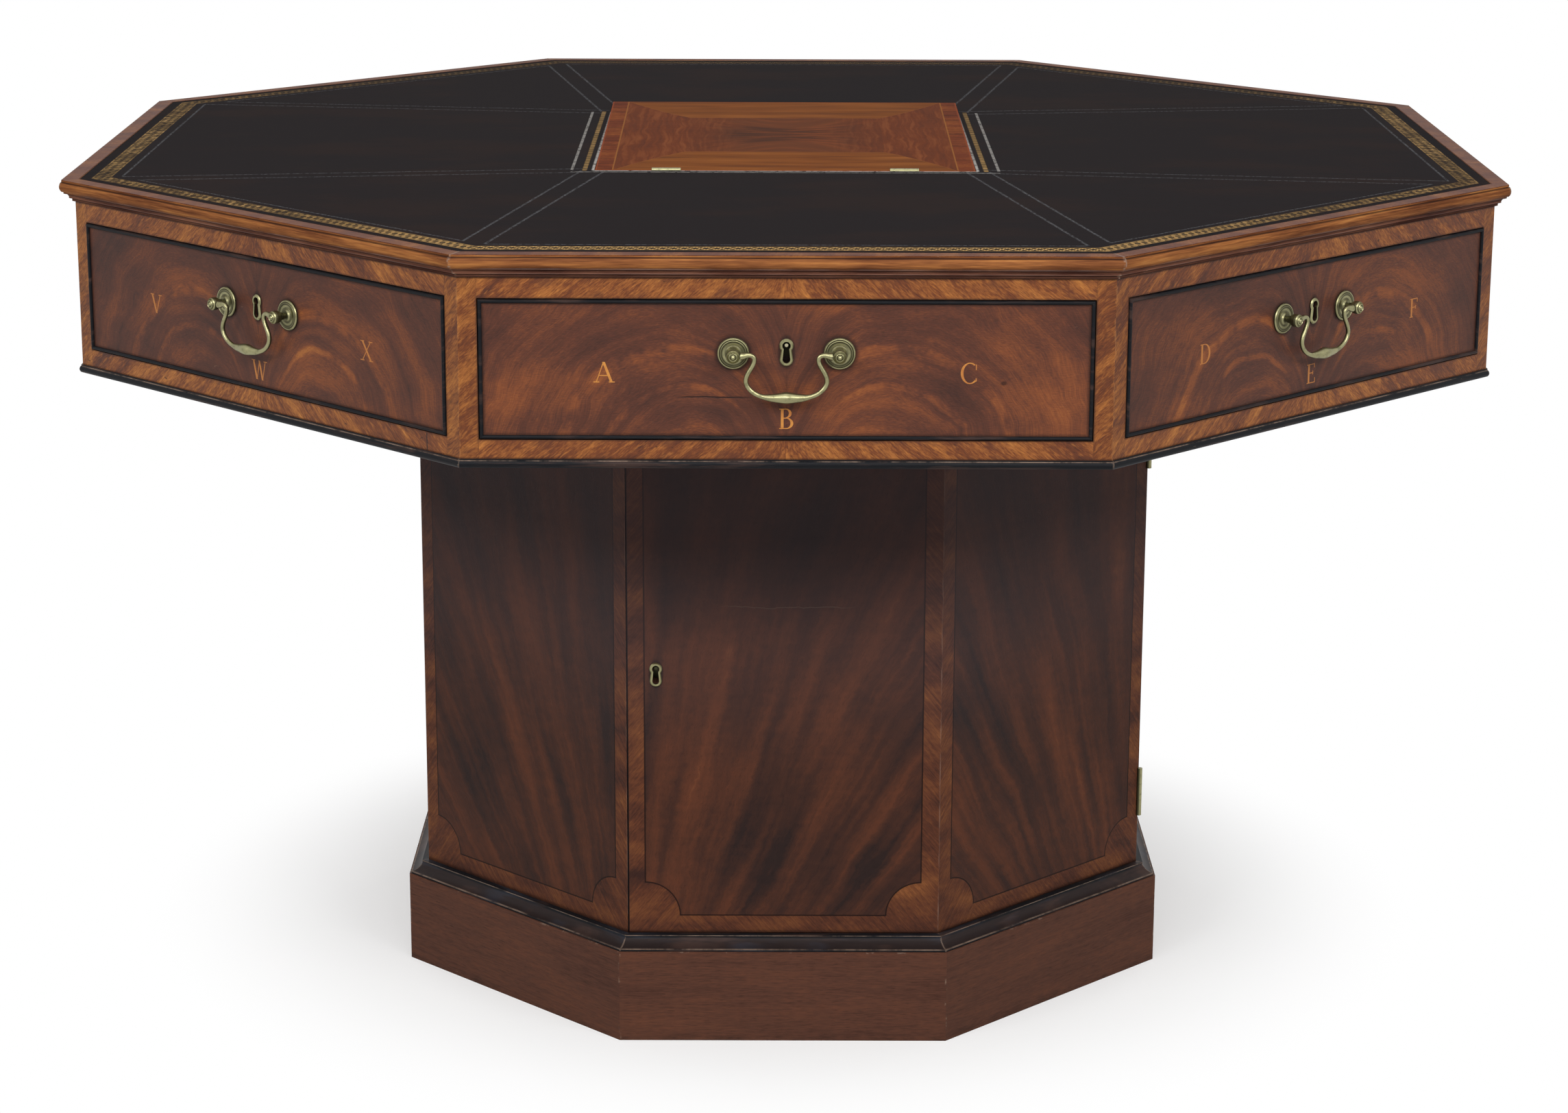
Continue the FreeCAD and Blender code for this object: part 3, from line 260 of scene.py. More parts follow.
class Socket:
    """A shader socket that can stand in a Python expression."""

    def __init__(self, finish, link):
        self.finish = finish
        self.link = link

    def maths(self, operation, *others):
        return self.finish.make("ShaderNodeMath", {"operation": operation}, self, *others)

    def __add__(self, other):
        return self.maths("ADD", other)

    def __sub__(self, other):
        return self.maths("SUBTRACT", other)

    def __rsub__(self, other):
        return self.finish.make("ShaderNodeMath", {"operation": "SUBTRACT"}, other, self)

    def __mul__(self, other):
        return self.maths("MULTIPLY", other)

    def __truediv__(self, other):
        return self.maths("DIVIDE", other)

    def __rtruediv__(self, other):
        return self.finish.make("ShaderNodeMath", {"operation": "DIVIDE"}, other, self)

    def __neg__(self):
        return self.maths("MULTIPLY", -1.0)

    def __abs__(self):
        return self.maths("ABSOLUTE")

    __radd__ = __add__
    __rmul__ = __mul__


class Nodes:
    """A node tree that is built from expressions."""

    def __init__(self, tree):
        self.tree = tree
        tree.nodes.clear()

    def make(self, kind, settings, *inputs, out=0, **named):
        """Adds a node: its settings first, then its sockets by place and by name."""
        node = self.tree.nodes.new(kind)
        for key, value in settings.items():
            if key == "stops":
                self.set_stops(node.color_ramp, value)
            else:
                setattr(node, key, value)
        for key, value in [*enumerate(inputs), *named.items()]:
            if isinstance(value, Socket):
                self.tree.links.new(value.link, node.inputs[key])
            elif value is not None:
                node.inputs[key].default_value = value
        if isinstance(out, tuple):
            return [Socket(self, node.outputs[index]) for index in out]
        return Socket(self, node.outputs[out])

    def set_stops(self, ramp, stops):
        while len(ramp.elements) < len(stops):
            ramp.elements.new(1.0)
        for element, (place, tint) in zip(ramp.elements, stops):
            element.position = place
            element.color = (*tint, 1.0)

    def show(self, surface, kind="Material"):
        """Joins a surface, or the room's light, to the tree's output."""
        output = self.tree.nodes.new("ShaderNodeOutput" + kind)
        self.tree.links.new(surface.link, output.inputs["Surface"])

    def high(self, first, *others):
        for other in others:
            first = first.maths("MAXIMUM", other)
        return first

    def low(self, first, *others):
        for other in others:
            first = first.maths("MINIMUM", other)
        return first

    def seen(self):
        """1 for what the camera sees, also in a gloss or through glass, and 0 for light on its way."""
        return self.high(*self.make("ShaderNodeLightPath", {}, out=SEEN_RAYS))


class Finish(Nodes):
    """A material whose pattern is built from the table's own coordinates."""

    def __init__(self, name):
        self.material = bpy.data.materials.new(name)
        self.material.use_nodes = True
        super().__init__(self.material.node_tree)
        self.place = self.make("ShaderNodeTexCoord", {}, out="Object")
        self.x, self.y, self.z = self.make("ShaderNodeSeparateXYZ", {}, self.place, out=(0, 1, 2))

    def noise(self, x, y, z, detail=3.0, rough=0.55, twist=0.0):
        """Soft noise from 0 to 1 whose coordinates are already counted in blobs."""
        place = self.make("ShaderNodeCombineXYZ", {}, x, y, z)
        return self.make("ShaderNodeTexNoise", {"noise_dimensions": "3D"}, Vector=place, Scale=1.0,
                         Detail=detail, Roughness=rough, Distortion=twist)

    def field(self, across, along, seed=0.0):
        """Noises over one pair of coordinates, each with its blobs per metre both ways and a further seed."""
        def blobs(crowd, run, more=0, detail=3.0, rough=0.55):
            return self.noise(across * crowd, along * run, seed + more, detail, rough)
        return blobs

    def lumps(self, crowd, detail, rough=0.55):
        """Noise that is the same size every way."""
        return self.noise(self.x * crowd, self.y * crowd, self.z * crowd, detail, rough)

    def cells(self, x, y, z):
        """One even value from 0 to 1 for each whole step of the coordinates."""
        place = self.make("ShaderNodeCombineXYZ", {}, x, y, z)
        return self.make("ShaderNodeTexWhiteNoise", {"noise_dimensions": "3D"}, place)

    def blended(self, *parts):
        """Noises weighed together about one half."""
        total = 0.5 - sum(weight for noise, weight in parts) / 2
        for noise, weight in parts:
            total = noise * weight + total
        return total

    def ramp(self, value, *stops):
        return self.make("ShaderNodeValToRGB", {"stops": stops}, value)

    def rise(self, value, low, high, unit=1.0, ends=(0.0, 1.0)):
        """0 below low, 1 above high, and smooth between."""
        settings = {"interpolation_type": "SMOOTHSTEP"}
        return self.make("ShaderNodeMapRange", settings, value, low * unit, high * unit, *ends)

    def fall(self, value, low, high, unit=1.0):
        """1 below low, 0 above high, and smooth between."""
        return self.rise(value, low, high, unit, (1.0, 0.0))

    def near(self, value, reach):
        """1 where value is about zero, and 0 from reach on."""
        return self.fall(abs(value), reach * 0.6, reach)

    def far(self, across, up):
        """Distance from the place where both are zero."""
        return (across * across + up * up).maths("SQRT")

    def blend(self, factor, first, second, way="MIX"):
        """The second colour over the first, as strongly as the factor says."""
        pair = [tint if isinstance(tint, Socket) else (*tint, 1.0) for tint in (first, second)]
        settings = {"data_type": "RGBA", "blend_type": way, "clamp_factor": True}
        return self.make("ShaderNodeMix", settings, factor, *[None] * 5, *pair, out=2)

    def shade(self, tint, value):
        """The colour made darker or lighter by a plain factor."""
        grey = self.make("ShaderNodeCombineColor", {}, value, value, value)
        return self.blend(1.0, tint, grey, "MULTIPLY")

    def layers(self, tint, *coats):
        """Lays one coat after the other over a colour: how strong, and which colour."""
        for strength, coat in coats:
            tint = self.blend(strength, tint, coat)
        return tint

    def face(self):
        """Folds the eight faces onto one: place along the face, distance out, and the face's own number."""
        angle = self.x.maths("ARCTAN2", -self.y)
        turn = (angle / STEP).maths("ROUND")
        within = angle - turn * STEP
        reach = self.far(self.x, self.y)
        along = reach * within.maths("SINE")
        out = reach * within.maths("COSINE")
        return along, out, turn.maths("FLOORED_MODULO", float(SIDES))

    def done(self, tint, rough, height, depth, gloss=0.5, metal=0.0):
        """Joins colour, roughness and relief to the shader, with the relief's depth in millimetres."""
        normal = self.make("ShaderNodeBump", {}, Distance=depth * MM, Height=height)
        named = {"Base Color": tint, "Metallic": metal, "Roughness": rough, "Normal": normal,
                 "Specular IOR Level": gloss}
        self.show(self.make("ShaderNodeBsdfPrincipled", {}, **named))
        return self.material


# Finishes of the woods. The numbers of a noise are its blobs per metre each way, a seed, its detail and its
# roughness. Those of rise and fall are where the fading starts and ends.

def streaks(m, across, along, seed, scale=1):
    """Wood fibre: fine lines that run along, with short pores."""
    fine = m.noise(across * (1500 * scale), along * (42 * scale), seed, 3, 0.6)
    broad = m.noise(across * (260 * scale), along * (9 * scale), seed + 3.7, 3, 0.6)
    pores = m.rise(m.noise(across * (2600 * scale), along * (120 * scale), seed + 8.1, 1), 0.6, 0.72)
    return fine, broad, pores


def below(m, out, surface):
    """1 where a cut goes deeper than the veneer."""
    return m.fall(out, surface - CORE, surface - VENEER)


def oak_wood(look):
    """Inner boards: pale oak with open grain."""
    m = Finish("oak")
    body = oak_tint(m, look.oak, m.x, m.y, m.z)
    fine = m.noise(m.x * 900, m.y * 60, m.z * 900, 2)
    return m.done(body, 0.72, fine, 0.15, gloss=0.3)


def oak_tint(m, tint, x, y, z):
    rings = m.noise(x * 60, y * 5, z * 60, 4, 0.6, 0.6)
    pores = m.rise(m.noise(x * 700, y * 40, z * 700, 2), 0.58, 0.75)
    dust = m.noise(x * 7, y * 7, z * 7, 3)
    body = m.shade(tint, 0.72 + rings * 0.45 + dust * 0.12)
    return m.shade(body, 1 - pores * 0.3)


def flame_wood(look, sizes):
    """Drawer fronts: two halves of one flame veneer, opened like a book about the keyhole."""
    m = Finish("flame_mahogany")
    along, out, number = m.face()
    seed = number * 5.3
    side = abs(along)
    lift = m.z - core_low
    plain = m.field(along, lift, seed)
    wander = plain(7, 9, 0, 2) - 0.5
    side_in = m.high(side + wander * (14 * MM), 0)
    past = m.high(side_in - sizes.plume_half, 0)
    share = m.low(side_in / sizes.plume_half, 1)
    level = lift + 34 * MM
    fountain = m.far(past, level)
    fountain = fountain + (1 - share * (1 - share).maths("EXPONENT")) * sizes.plume_high
    warp = plain(11, 13, 4, 2) - 0.5
    ripple = plain(60, 80, 2, 3) - 0.5
    flow = fountain + warp * (40 * MM) + ripple * (2.5 * MM)
    curled = m.field(flow, side, seed)
    broad = curled(55, 7, 1, 2, 0.5)
    figure = curled(170, 12, 3, 2, 0.5)
    fibre = curled(700, 40, 6, 3, 0.65)
    mottle = plain(12, 17, 9, 3)
    flecks = plain(190, 1900, 12, 3, 0.6)
    curve = fountain + warp * (16 * MM) + ripple * (4 * MM)
    arcs = m.high(m.fall(abs(curve - 104 * MM), 2, 7, MM), m.fall(abs(curve - 73 * MM), 1, 4.5, MM))
    patchy = plain(36, 30, 30, 3)
    arcs = arcs * m.rise(side, 22, 44, MM) * m.rise(patchy, 0.36, 0.58)
    grit = curled(1100, 240, 33, 2, 0.6)
    value = m.blended((broad, 0.5), (figure, 0.2), (fibre, 0.26), (mottle, 0.72), (flecks, 0.36),
                      (grit, 0.34))
    value = value + arcs * 0.22 + along * 0.16 - 0.02
    wood = m.ramp(value, (0.22, look.flame_dark), (0.48, look.flame_body),
                  (0.72, look.flame_light), (0.94, paint(158, 98, 52)))
    pores = m.rise(plain(150, 2100, 15, 1), 0.58, 0.7)
    wood = m.shade(wood, 0.97 - pores * 0.2)
    heart = m.near(along + wander * (4 * MM), 0.9 * MM)
    heart = heart * m.rise(m.noise(lift * 160, seed, 3, 2), 0.4, 0.6)
    split = m.near(lift - 31 * MM + ripple * (4 * MM), 0.8 * MM)
    split = split * m.fall(abs(along + 57 * MM), 18, 33, MM) * m.fall(number, 0.3, 0.6)
    knot_x, knot_z = along - 172 * MM, (lift - 43 * MM) * 1.4
    knot = m.fall(m.far(knot_x, knot_z), 1.2, 3.4, MM) * m.fall(number, 0.3, 0.6)
    rim = m.low(core_half - side, m.z - core_low, core_high - m.z)
    # Soiling and painted shade: darker along the cockbead, in a ring round each rosette and in a halo round
    # the keyhole.
    grime_and_shade = m.fall(rim, 0.2, 3, MM) * 0.5
    post_far = m.far(side - POST_X, m.z - handle_level)
    key_x, key_z = along / (5.6 * MM), (m.z - handle_level - PLATE_RISE) / (11 * MM)
    key_far = m.far(key_x, key_z)
    grime_and_shade = m.high(grime_and_shade, m.fall(post_far, ROSETTE_R, ROSETTE_R + 4 * MM) * 0.7)
    grime_and_shade = m.high(grime_and_shade, m.fall(key_far, 1.05, 1.45) * 0.7)
    rubs = m.rise(plain(60, 190, 21, 4, 0.7), 0.7, 0.75) * 0.22
    lining = oak_tint(m, look.oak, along, out, m.z)
    inner = m.fall(out, front_out - FRONT_THICK - 0.4 * MM, front_out - FRONT_THICK - 0.1 * MM)
    core = below(m, out, front_out)
    # Painted shade: the walls of the keyhole cut, below the veneer, are painted very dark.
    keyhole_wall_shade = core * m.fall(side, 6, 7, MM) * m.fall(abs(m.z - handle_level - PLATE_RISE), 12, 13, MM)
    rough = 0.36 + flecks * 0.1 + grime_and_shade * 0.2 + inner * 0.3
    height = flecks * 0.5 - pores * 0.8 - split * 3
    wood = m.layers(wood, (m.high(heart * 0.3, knot * 0.75, split * 0.85), paint(34, 20, 17)),
                    (grime_and_shade, paint(26, 18, 17)), (rubs, paint(150, 112, 92)),
                    (core, m.shade(look.flame_body, 0.75 + fibre * 0.6)), (keyhole_wall_shade * 0.9, paint(16, 12, 12)),
                    (inner, lining))
    return m.done(wood, rough, height, 0.05, gloss=0.14)


def band_tint(m, look, across, along, seed, patch):
    """Crossbanding: short golden grain in strips of changing tone."""
    fine, broad, pores = streaks(m, across, along, seed, 0.8)
    strip = m.field(across, along, seed)
    thread = strip(300, 120, 5, 3, 0.65)
    fleck = strip(620, 260, 25, 3, 0.65)
    value = m.blended((broad, 0.34), (thread, 0.35), (fleck, 0.95), (fine, 0.16), (patch, 1.5))
    tint = m.ramp(value, (0.16, look.band_dark), (0.46, look.band_body),
                  (0.72, look.band_light), (0.92, paint(190, 124, 62)))
    return m.shade(tint, 1 - pores * 0.35), fine, pores


def frieze_wood(look):
    """Frieze: crossbanding that leans in towards the middle of each rail, and the corner stiles."""
    m = Finish("crossbanded_frieze")
    along, out, number = m.face()
    seed = number * 3.1
    stile = m.rise(abs(along), bay_half, bay_half + 0.2 * MM)
    middle = (drum_foot + drum_head) / 2
    rail = m.rise(m.z, middle, middle + 1 * MM)
    lean = along / (abs(along) + 14 * MM) * -1.25
    lean = lean * (1 - stile) + stile
    plain = m.field(along, m.z, seed)
    lean = lean + (plain(22, 6, 0, 2) - 0.5) * 0.6
    level = m.z - (bay_low - 8 * MM) * (1 - rail) - (bay_high + 9 * MM) * rail
    level = level * (1 - stile) + (m.z - middle) * stile
    across = along - level * lean
    rail = rail * (1 - stile)
    strip = m.cells((along * 9 + seed).maths("FLOOR"), rail + stile * 2, number)
    banding = m.field(across, level, seed)
    patch = banding(46, 12, rail * 9, 4, 0.6) * 0.85 + strip * 0.15
    wood, fine, pores = band_tint(m, look, across, level, seed + rail * 5, patch)
    glint = m.rise(banding(260, 120, 40, 2), 0.56, 0.7)
    blotch = m.rise(banding(34, 60, 44, 3, 0.6), 0.56, 0.7)
    wood = m.layers(wood, (glint * 0.45, paint(176, 112, 56)), (blotch * 0.6, paint(84, 46, 32)))
    wood = m.shade(wood, 0.94 - stile * 0.12)
    joint = m.near(abs(along) - bay_half, 0.35 * MM) * 0.25
    knots = m.rise(plain(130, 260, 0, 2), 0.71, 0.77) * 0.75
    # Soiling and painted shade: darker under the moulded edge, above the bead and round the drawer openings.
    grime_and_shade = m.high(m.fall(drum_head - m.z, 0.4, 2.4, MM), m.fall(m.z - drum_foot, 0.2, 1.8, MM)) * 0.6
    edge = m.high(abs(along) - bay_half, m.z - bay_high, bay_low - m.z)
    grime_and_shade = m.high(grime_and_shade, m.fall(edge, 0.2, 1.6, MM) * 0.55)
    crack = m.near(along - 219 * MM + (fine - 0.5) * MM, 0.8 * MM)
    crack = crack * m.fall(m.z, bay_low - 1.5 * MM, bay_low) * m.fall(abs(number - 7), 0.3, 0.5)
    arris = out * HALF_TAN - abs(along)
    worn = m.fall(arris, 0.4, 1.4, MM) * m.rise(m.noise(m.z * 90, seed, 2, 4), 0.46, 0.66)
    inner = below(m, out, drum_out)
    rough = 0.38 + pores * 0.2 + grime_and_shade * 0.2
    wood = m.layers(wood, (m.high(grime_and_shade, joint, knots, crack), paint(40, 24, 18)),
                    (worn * 0.45, paint(182, 128, 78)),
                    (inner, m.shade(look.plinth_body, 0.9 + fine * 0.7)))
    return m.done(wood, rough, fine * 0.5 - pores, 0.05, gloss=0.2)


def edge_wood(look, trim):
    """Moulded edge: grain along each length, a crossbanded rim on top, dark lines of soiling and painted
    shade in the steps, painted shade in the cove and painted highlights below the nose.
    """
    m = Finish("moulded_edge")
    along, out, number = m.face()
    seed = number * 4.7
    girth = m.z - out * 0.6
    fine, broad = streaks(m, girth, along, seed)[:2]
    plain = m.field(along, girth, seed)
    long_tone = plain(9, 60, 0, 3)
    dash = plain(60, 1300, 6, 2)
    value = m.blended((broad, 0.9), (fine, 0.5), (long_tone, 0.9), (dash, 0.35))
    drop = top_level - m.z
    nose = m.ramp(value, (0.28, paint(92, 54, 34)), (0.5, look.moulding_body),
                  (0.68, paint(160, 104, 58)), (0.86, paint(186, 132, 78)))
    # The cove below the nose is a darker, redder copy of the edge wood: its own redder tone, with painted
    # shade in the recess.
    cove = m.ramp(value, (0.28, paint(76, 46, 38)), (0.5, paint(108, 70, 56)), (0.72, paint(136, 92, 72)))
    wood = m.blend(m.rise(drop, 11.2, 12, MM), nose, cove)
    rim_out = top_out - 2.1 * MM
    rim = m.rise(m.z, top_level - 0.7 * MM, top_level - 0.4 * MM)
    rim = rim * m.rise(out, leather_out, leather_out + 0.2 * MM)
    patch = m.noise(along * 40, out * 20, seed, 3)
    banding = band_tint(m, look, along + out * 0.4, out, seed, patch)[0]
    # Painted highlight: pale grey lines at the foot of the nose and across the cove.
    shine = m.near(drop - 11.3 * MM, 0.9 * MM) + m.near(drop - 15.9 * MM, 0.5 * MM) * 0.6
    shine = shine * m.rise(m.noise(along * 14, seed, 4, 4), 0.35, 0.6)
    # Dark lines of soiling and painted shade: in the steps, at the moulding's foot and where the rim meets
    # the leather.
    lines = m.fall(abs(drop - 2.1 * MM), 0.3, 0.9, MM) * m.rise(out, rim_out - 0.4 * MM, rim_out)
    lines = m.high(lines, m.fall(abs(drop - 12.6 * MM), 0.5, 1.1, MM))
    lines = m.high(lines, m.fall(abs(drop - 16.7 * MM), 0.5, 1.1, MM) * 0.8)
    lines = m.high(lines, m.fall(19 * MM - drop, 0.4, 1.4, MM))
    lines = m.high(lines, m.fall(out - leather_out, 0.2, 1.2, MM) * rim)
    arris = out * HALF_TAN - abs(along)
    nick = m.fall(arris, 0.5, 2.2, MM) * m.rise(m.noise(m.z * 220, seed, 5, 3), 0.45, 0.6)
    chips = m.rise(plain(90, 420, 2, 3, 0.7), 0.7, 0.76) * 0.55
    spots = m.rise(plain(140, 260, 7, 2), 0.72, 0.78) * 0.7
    rough = 0.3 + fine * 0.1 + lines * 0.3
    wood = m.layers(wood, (rim, m.blend(0.45, m.shade(banding, 0.66), paint(96, 52, 36))),
                    (shine * 0.5, paint(146, 124, 116)), (lines * 0.75, paint(38, 26, 24)),
                    (m.high(nick * 0.7, chips), trim.wear), (spots, paint(48, 26, 18)))
    return m.done(wood, rough, fine * 0.4 - spots, 0.06, gloss=0.01)


def ribbon_wood(look, sizes):
    """Pedestal faces: ribbon veneer inside crossbanded borders with dark stringing."""
    m = Finish("ribbon_mahogany")
    along, out, number = m.face()
    seed = number * 6.1
    flip = 1 - (number.maths("FLOORED_MODULO", 2)) * 2
    book = along * flip
    front = m.fall(number, 0.3, 0.5)
    lift = m.z - pedestal_low
    mirrored = m.field(book, lift, seed)
    sway = (mirrored(8, 5, 0, 2) - 0.5) * (34 * MM)
    feather = (mirrored(90, 130, 11, 3, 0.65) - 0.5) * (9 * MM)
    fan = (book + 155 * MM + sway + feather) / (lift + 250 * MM)
    fanned = m.field(fan, lift, seed)
    ribbon = fanned(17, 4, 1, 2, 0.5)
    thread = fanned(60, 9, 2, 3, 0.6)
    fibre = fanned(420, 60, 3, 3, 0.65)
    curl = mirrored(70, 110, 4, 3, 0.6)
    cloud = mirrored(8, 6, 5, 2)
    value = m.blended((ribbon, 1), (thread, 0.4), (fibre, 0.26), (curl, 0.26), (cloud, 0.7))
    panel = m.ramp(value, (0.22, look.ribbon_dark), (0.48, look.ribbon_body),
                   (0.78, look.ribbon_light), (0.98, paint(118, 72, 46)))
    pores = m.rise(fanned(900, 150, 6, 1), 0.58, 0.7)
    panel = m.shade(panel, 1 - pores * 0.2)
    half = pedestal_out * HALF_TAN - sizes.border
    foot = sizes.border + 1 * MM
    head = pedestal_high - pedestal_low - sizes.border
    inset_side = half - abs(along)
    inset = m.low(inset_side, lift - foot, head - lift)
    corner_up = m.low(abs(lift - foot), abs(head - lift))
    corner = m.far(inset_side, corner_up) - sizes.corner
    inset = m.low(inset, corner)
    lean_side = along.maths("SIGN")
    base = m.fall(lift, foot, foot + 0.5 * MM) * m.rise(corner, 0, 0.2, MM)
    across = along + lift * lean_side * 0.8
    across = across * (1 - base) + (along + (lift - foot) * 0.9) * base
    plain = m.field(along, lift, seed)
    patch = plain(14, 30, 7, 3)
    fine, broad, band_pores = streaks(m, across, lift, seed + 8 + lean_side)
    thread_band = m.noise(across * 420, lift * 30, seed + 13 + lean_side, 3, 0.65)
    fleck = m.noise(across * 560, lift * 240, seed + 25, 3, 0.65)
    tone = m.blended((broad, 0.4), (thread_band, 0.4), (fine, 0.2), (fleck, 0.5), (patch, 1.15))
    border = m.ramp(tone, (0.22, paint(56, 36, 31)), (0.48, paint(86, 51, 37)), (0.74, paint(114, 70, 43)),
                    (0.96, paint(146, 92, 54)))
    border = m.shade(border, 1 - band_pores * 0.3)
    wood = m.blend(m.rise(inset, -0.1, 0.1, MM), border, panel)
    string = m.near(inset, sizes.line)
    crack_line = lift - 306 * MM + (m.noise(along * 34, 1, 2, 4) - 0.5) * (9 * MM)
    crack = m.near(crack_line, 0.5 * MM) * m.fall(abs(along - 3 * MM), 40, 66, MM)
    crack = crack * front
    arris = out * HALF_TAN - abs(along)
    worn = m.fall(arris, 0.3, 0.9, MM) * m.rise(m.noise(lift * 30, seed, 2, 5, 0.6), 0.42, 0.62)
    marks = m.rise(plain(110, 60, 9, 4, 0.75), 0.745, 0.77) * 0.5
    # Soiling and painted shade: darker at the foot of the panels, along the door's edge at the front's left
    # corner, and round the door's keyhole.
    dirt_and_shade = m.fall(lift, 0.6, 4, MM) * 0.6
    dirt_and_shade = m.high(dirt_and_shade, m.fall(arris, 1.2, 1.9, MM) * m.fall(along, -0.01, 0) * front)
    key_far = ((along - DOOR_KEY_X) * (along - DOOR_KEY_X) * 1.9
               + (m.z - DOOR_KEY_LEVEL) * (m.z - DOOR_KEY_LEVEL) * 0.45).maths("SQRT")
    dirt_and_shade = m.high(dirt_and_shade, m.fall(key_far, 8, 10, MM) * front * 0.6)
    # Painted shade: a very dark strip along the door's edge at the front's left corner.
    door_gap_shade = m.fall(along + pedestal_out * HALF_TAN, 0.8, 1.8, MM) * front
    # Painted reflection: the upper pedestal, in the shade under the drum, is greyed towards a neutral veil.
    painted_reflection_veil = m.rise(m.z, pedestal_high - 0.36, pedestal_high - 0.06)
    inner = below(m, out, pedestal_out)
    rough = 0.36 + fine * 0.12 + inner * 0.3
    height = thread * 0.3 + fibre * 0.5 - pores - string - crack * 2
    wood = m.layers(wood, (string * 0.85, look.stringing), (crack * 0.35, paint(112, 96, 84)),
                    (m.high(worn * 0.45, marks), paint(146, 118, 102)), (dirt_and_shade, paint(20, 16, 16)),
                    (door_gap_shade * m.rise(lift, 0, 1, MM) * 0.9, paint(14, 11, 12)),
                    (painted_reflection_veil * 0.5, paint(76, 68, 71)), (inner, m.shade(look.plinth_body, 0.8 + fine * 0.8)))
    return m.done(wood, rough, height, 0.05, gloss=0.05)


def plinth_wood(look, trim):
    """Plinth boards: grain along each length, darker towards the bottom, and bruised corners."""
    m = Finish("plinth_mahogany")
    along, out, number = m.face()
    seed = number * 2.9
    fine, broad, pores = streaks(m, m.z, along, seed, 0.8)
    plain = m.field(along, m.z, seed)
    cloud = plain(8, 30, 0, 3)
    short = plain(90, 620, 9, 3, 0.6)
    value = broad * 0.22 + fine * 0.26 + short * 0.34 + cloud * 0.32
    wood = m.ramp(value, (0.34, paint(58, 36, 30)), (0.55, look.plinth_body), (0.78, paint(106, 66, 48)),
                  (0.92, paint(126, 84, 60)))
    wood = m.shade(wood, 1 - pores * 0.35)
    # Darker in patches towards the bottom of the boards.
    foot = m.fall(m.z, 1, 9, MM) * m.rise(plain(30, 60, 4, 4, 0.7), 0.4, 0.7)
    arris = out * HALF_TAN - abs(along)
    upper = plinth_high - m.z
    worn = m.fall(m.low(arris, upper), 0.4, 1.8, MM)
    worn = worn * m.rise(plain(60, 60, 2, 4, 0.7), 0.56, 0.68)
    marks = m.rise(plain(70, 90, 6, 4, 0.75), 0.72, 0.75) * 0.5
    inner = below(m, out, plinth_out)
    wood = m.layers(wood, (foot * 0.6, paint(44, 32, 28)), (m.high(worn * 0.6, marks), trim.wear),
                    (inner, m.shade(look.plinth_body, 0.8 + fine * 0.7)))
    return m.done(wood, 0.42 + fine * 0.12, fine * 0.5 - pores, 0.07, gloss=0.05)


def ebonised(look, trim):
    """Blackened mouldings and cockbeads, rubbed back to red-brown and grey in places, with pale lines along
    top edges that are partly worn and partly painted highlight.
    """
    m = Finish("ebonised_wood")
    along, out, number = m.face()
    seed = number * 7.7
    girth = m.z + out * 0.5
    plain = m.field(along, girth, seed)
    grain = plain(30, 900, 0, 3)
    rub = m.rise(plain(9, 110, 2, 4, 0.65), 0.5, 0.66)
    cove = m.near(m.z - plinth_high - 5.5 * MM, 4.5 * MM)
    low_moulding = m.fall(m.z, pedestal_low, pedestal_low + 1 * MM)
    tint = m.blend(m.high(rub * 0.6, cove * (rub * 0.5 + 0.25) * low_moulding), look.ebony, paint(74, 56, 50))
    tint = m.shade(tint, 0.72 + grain * 0.5)
    bluish = m.rise(plain(16, 200, 12, 3), 0.5, 0.72) * low_moulding
    chips = m.rise(plain(90, 600, 5, 4, 0.7), 0.69, 0.74)
    shelf = m.fall(pedestal_low - m.z, 0.1, 0.3, MM)
    # Pale lines along the top edges of the plinth moulding, its fillet and the bead: worn, and partly painted
    # highlight.
    rim = m.near(m.z - pedestal_low + 0.6 * MM, 0.5 * MM) * (1 - shelf)
    rim = m.high(rim, m.near(m.z - plinth_high - 1.9 * MM, 0.5 * MM))
    rim = m.high(rim, m.near(m.z - drum_foot + 1.2 * MM, 0.45 * MM))
    edge = rim * m.rise(plain(28, 20, 8, 5, 0.75), 0.36, 0.6)
    arris = m.fall(out * HALF_TAN - abs(along), 0.3, 1.2, MM)
    arris = arris * m.rise(m.noise(girth * 300, seed, 1), 0.4, 0.6)
    tint = m.layers(tint, (bluish * 0.45, paint(52, 56, 66)),
                    (m.high(chips * 0.3, edge * 0.6, arris * 0.4), trim.wear))
    return m.done(tint, 0.36 + grain * 0.16, grain - chips, 0.05, gloss=0.08)


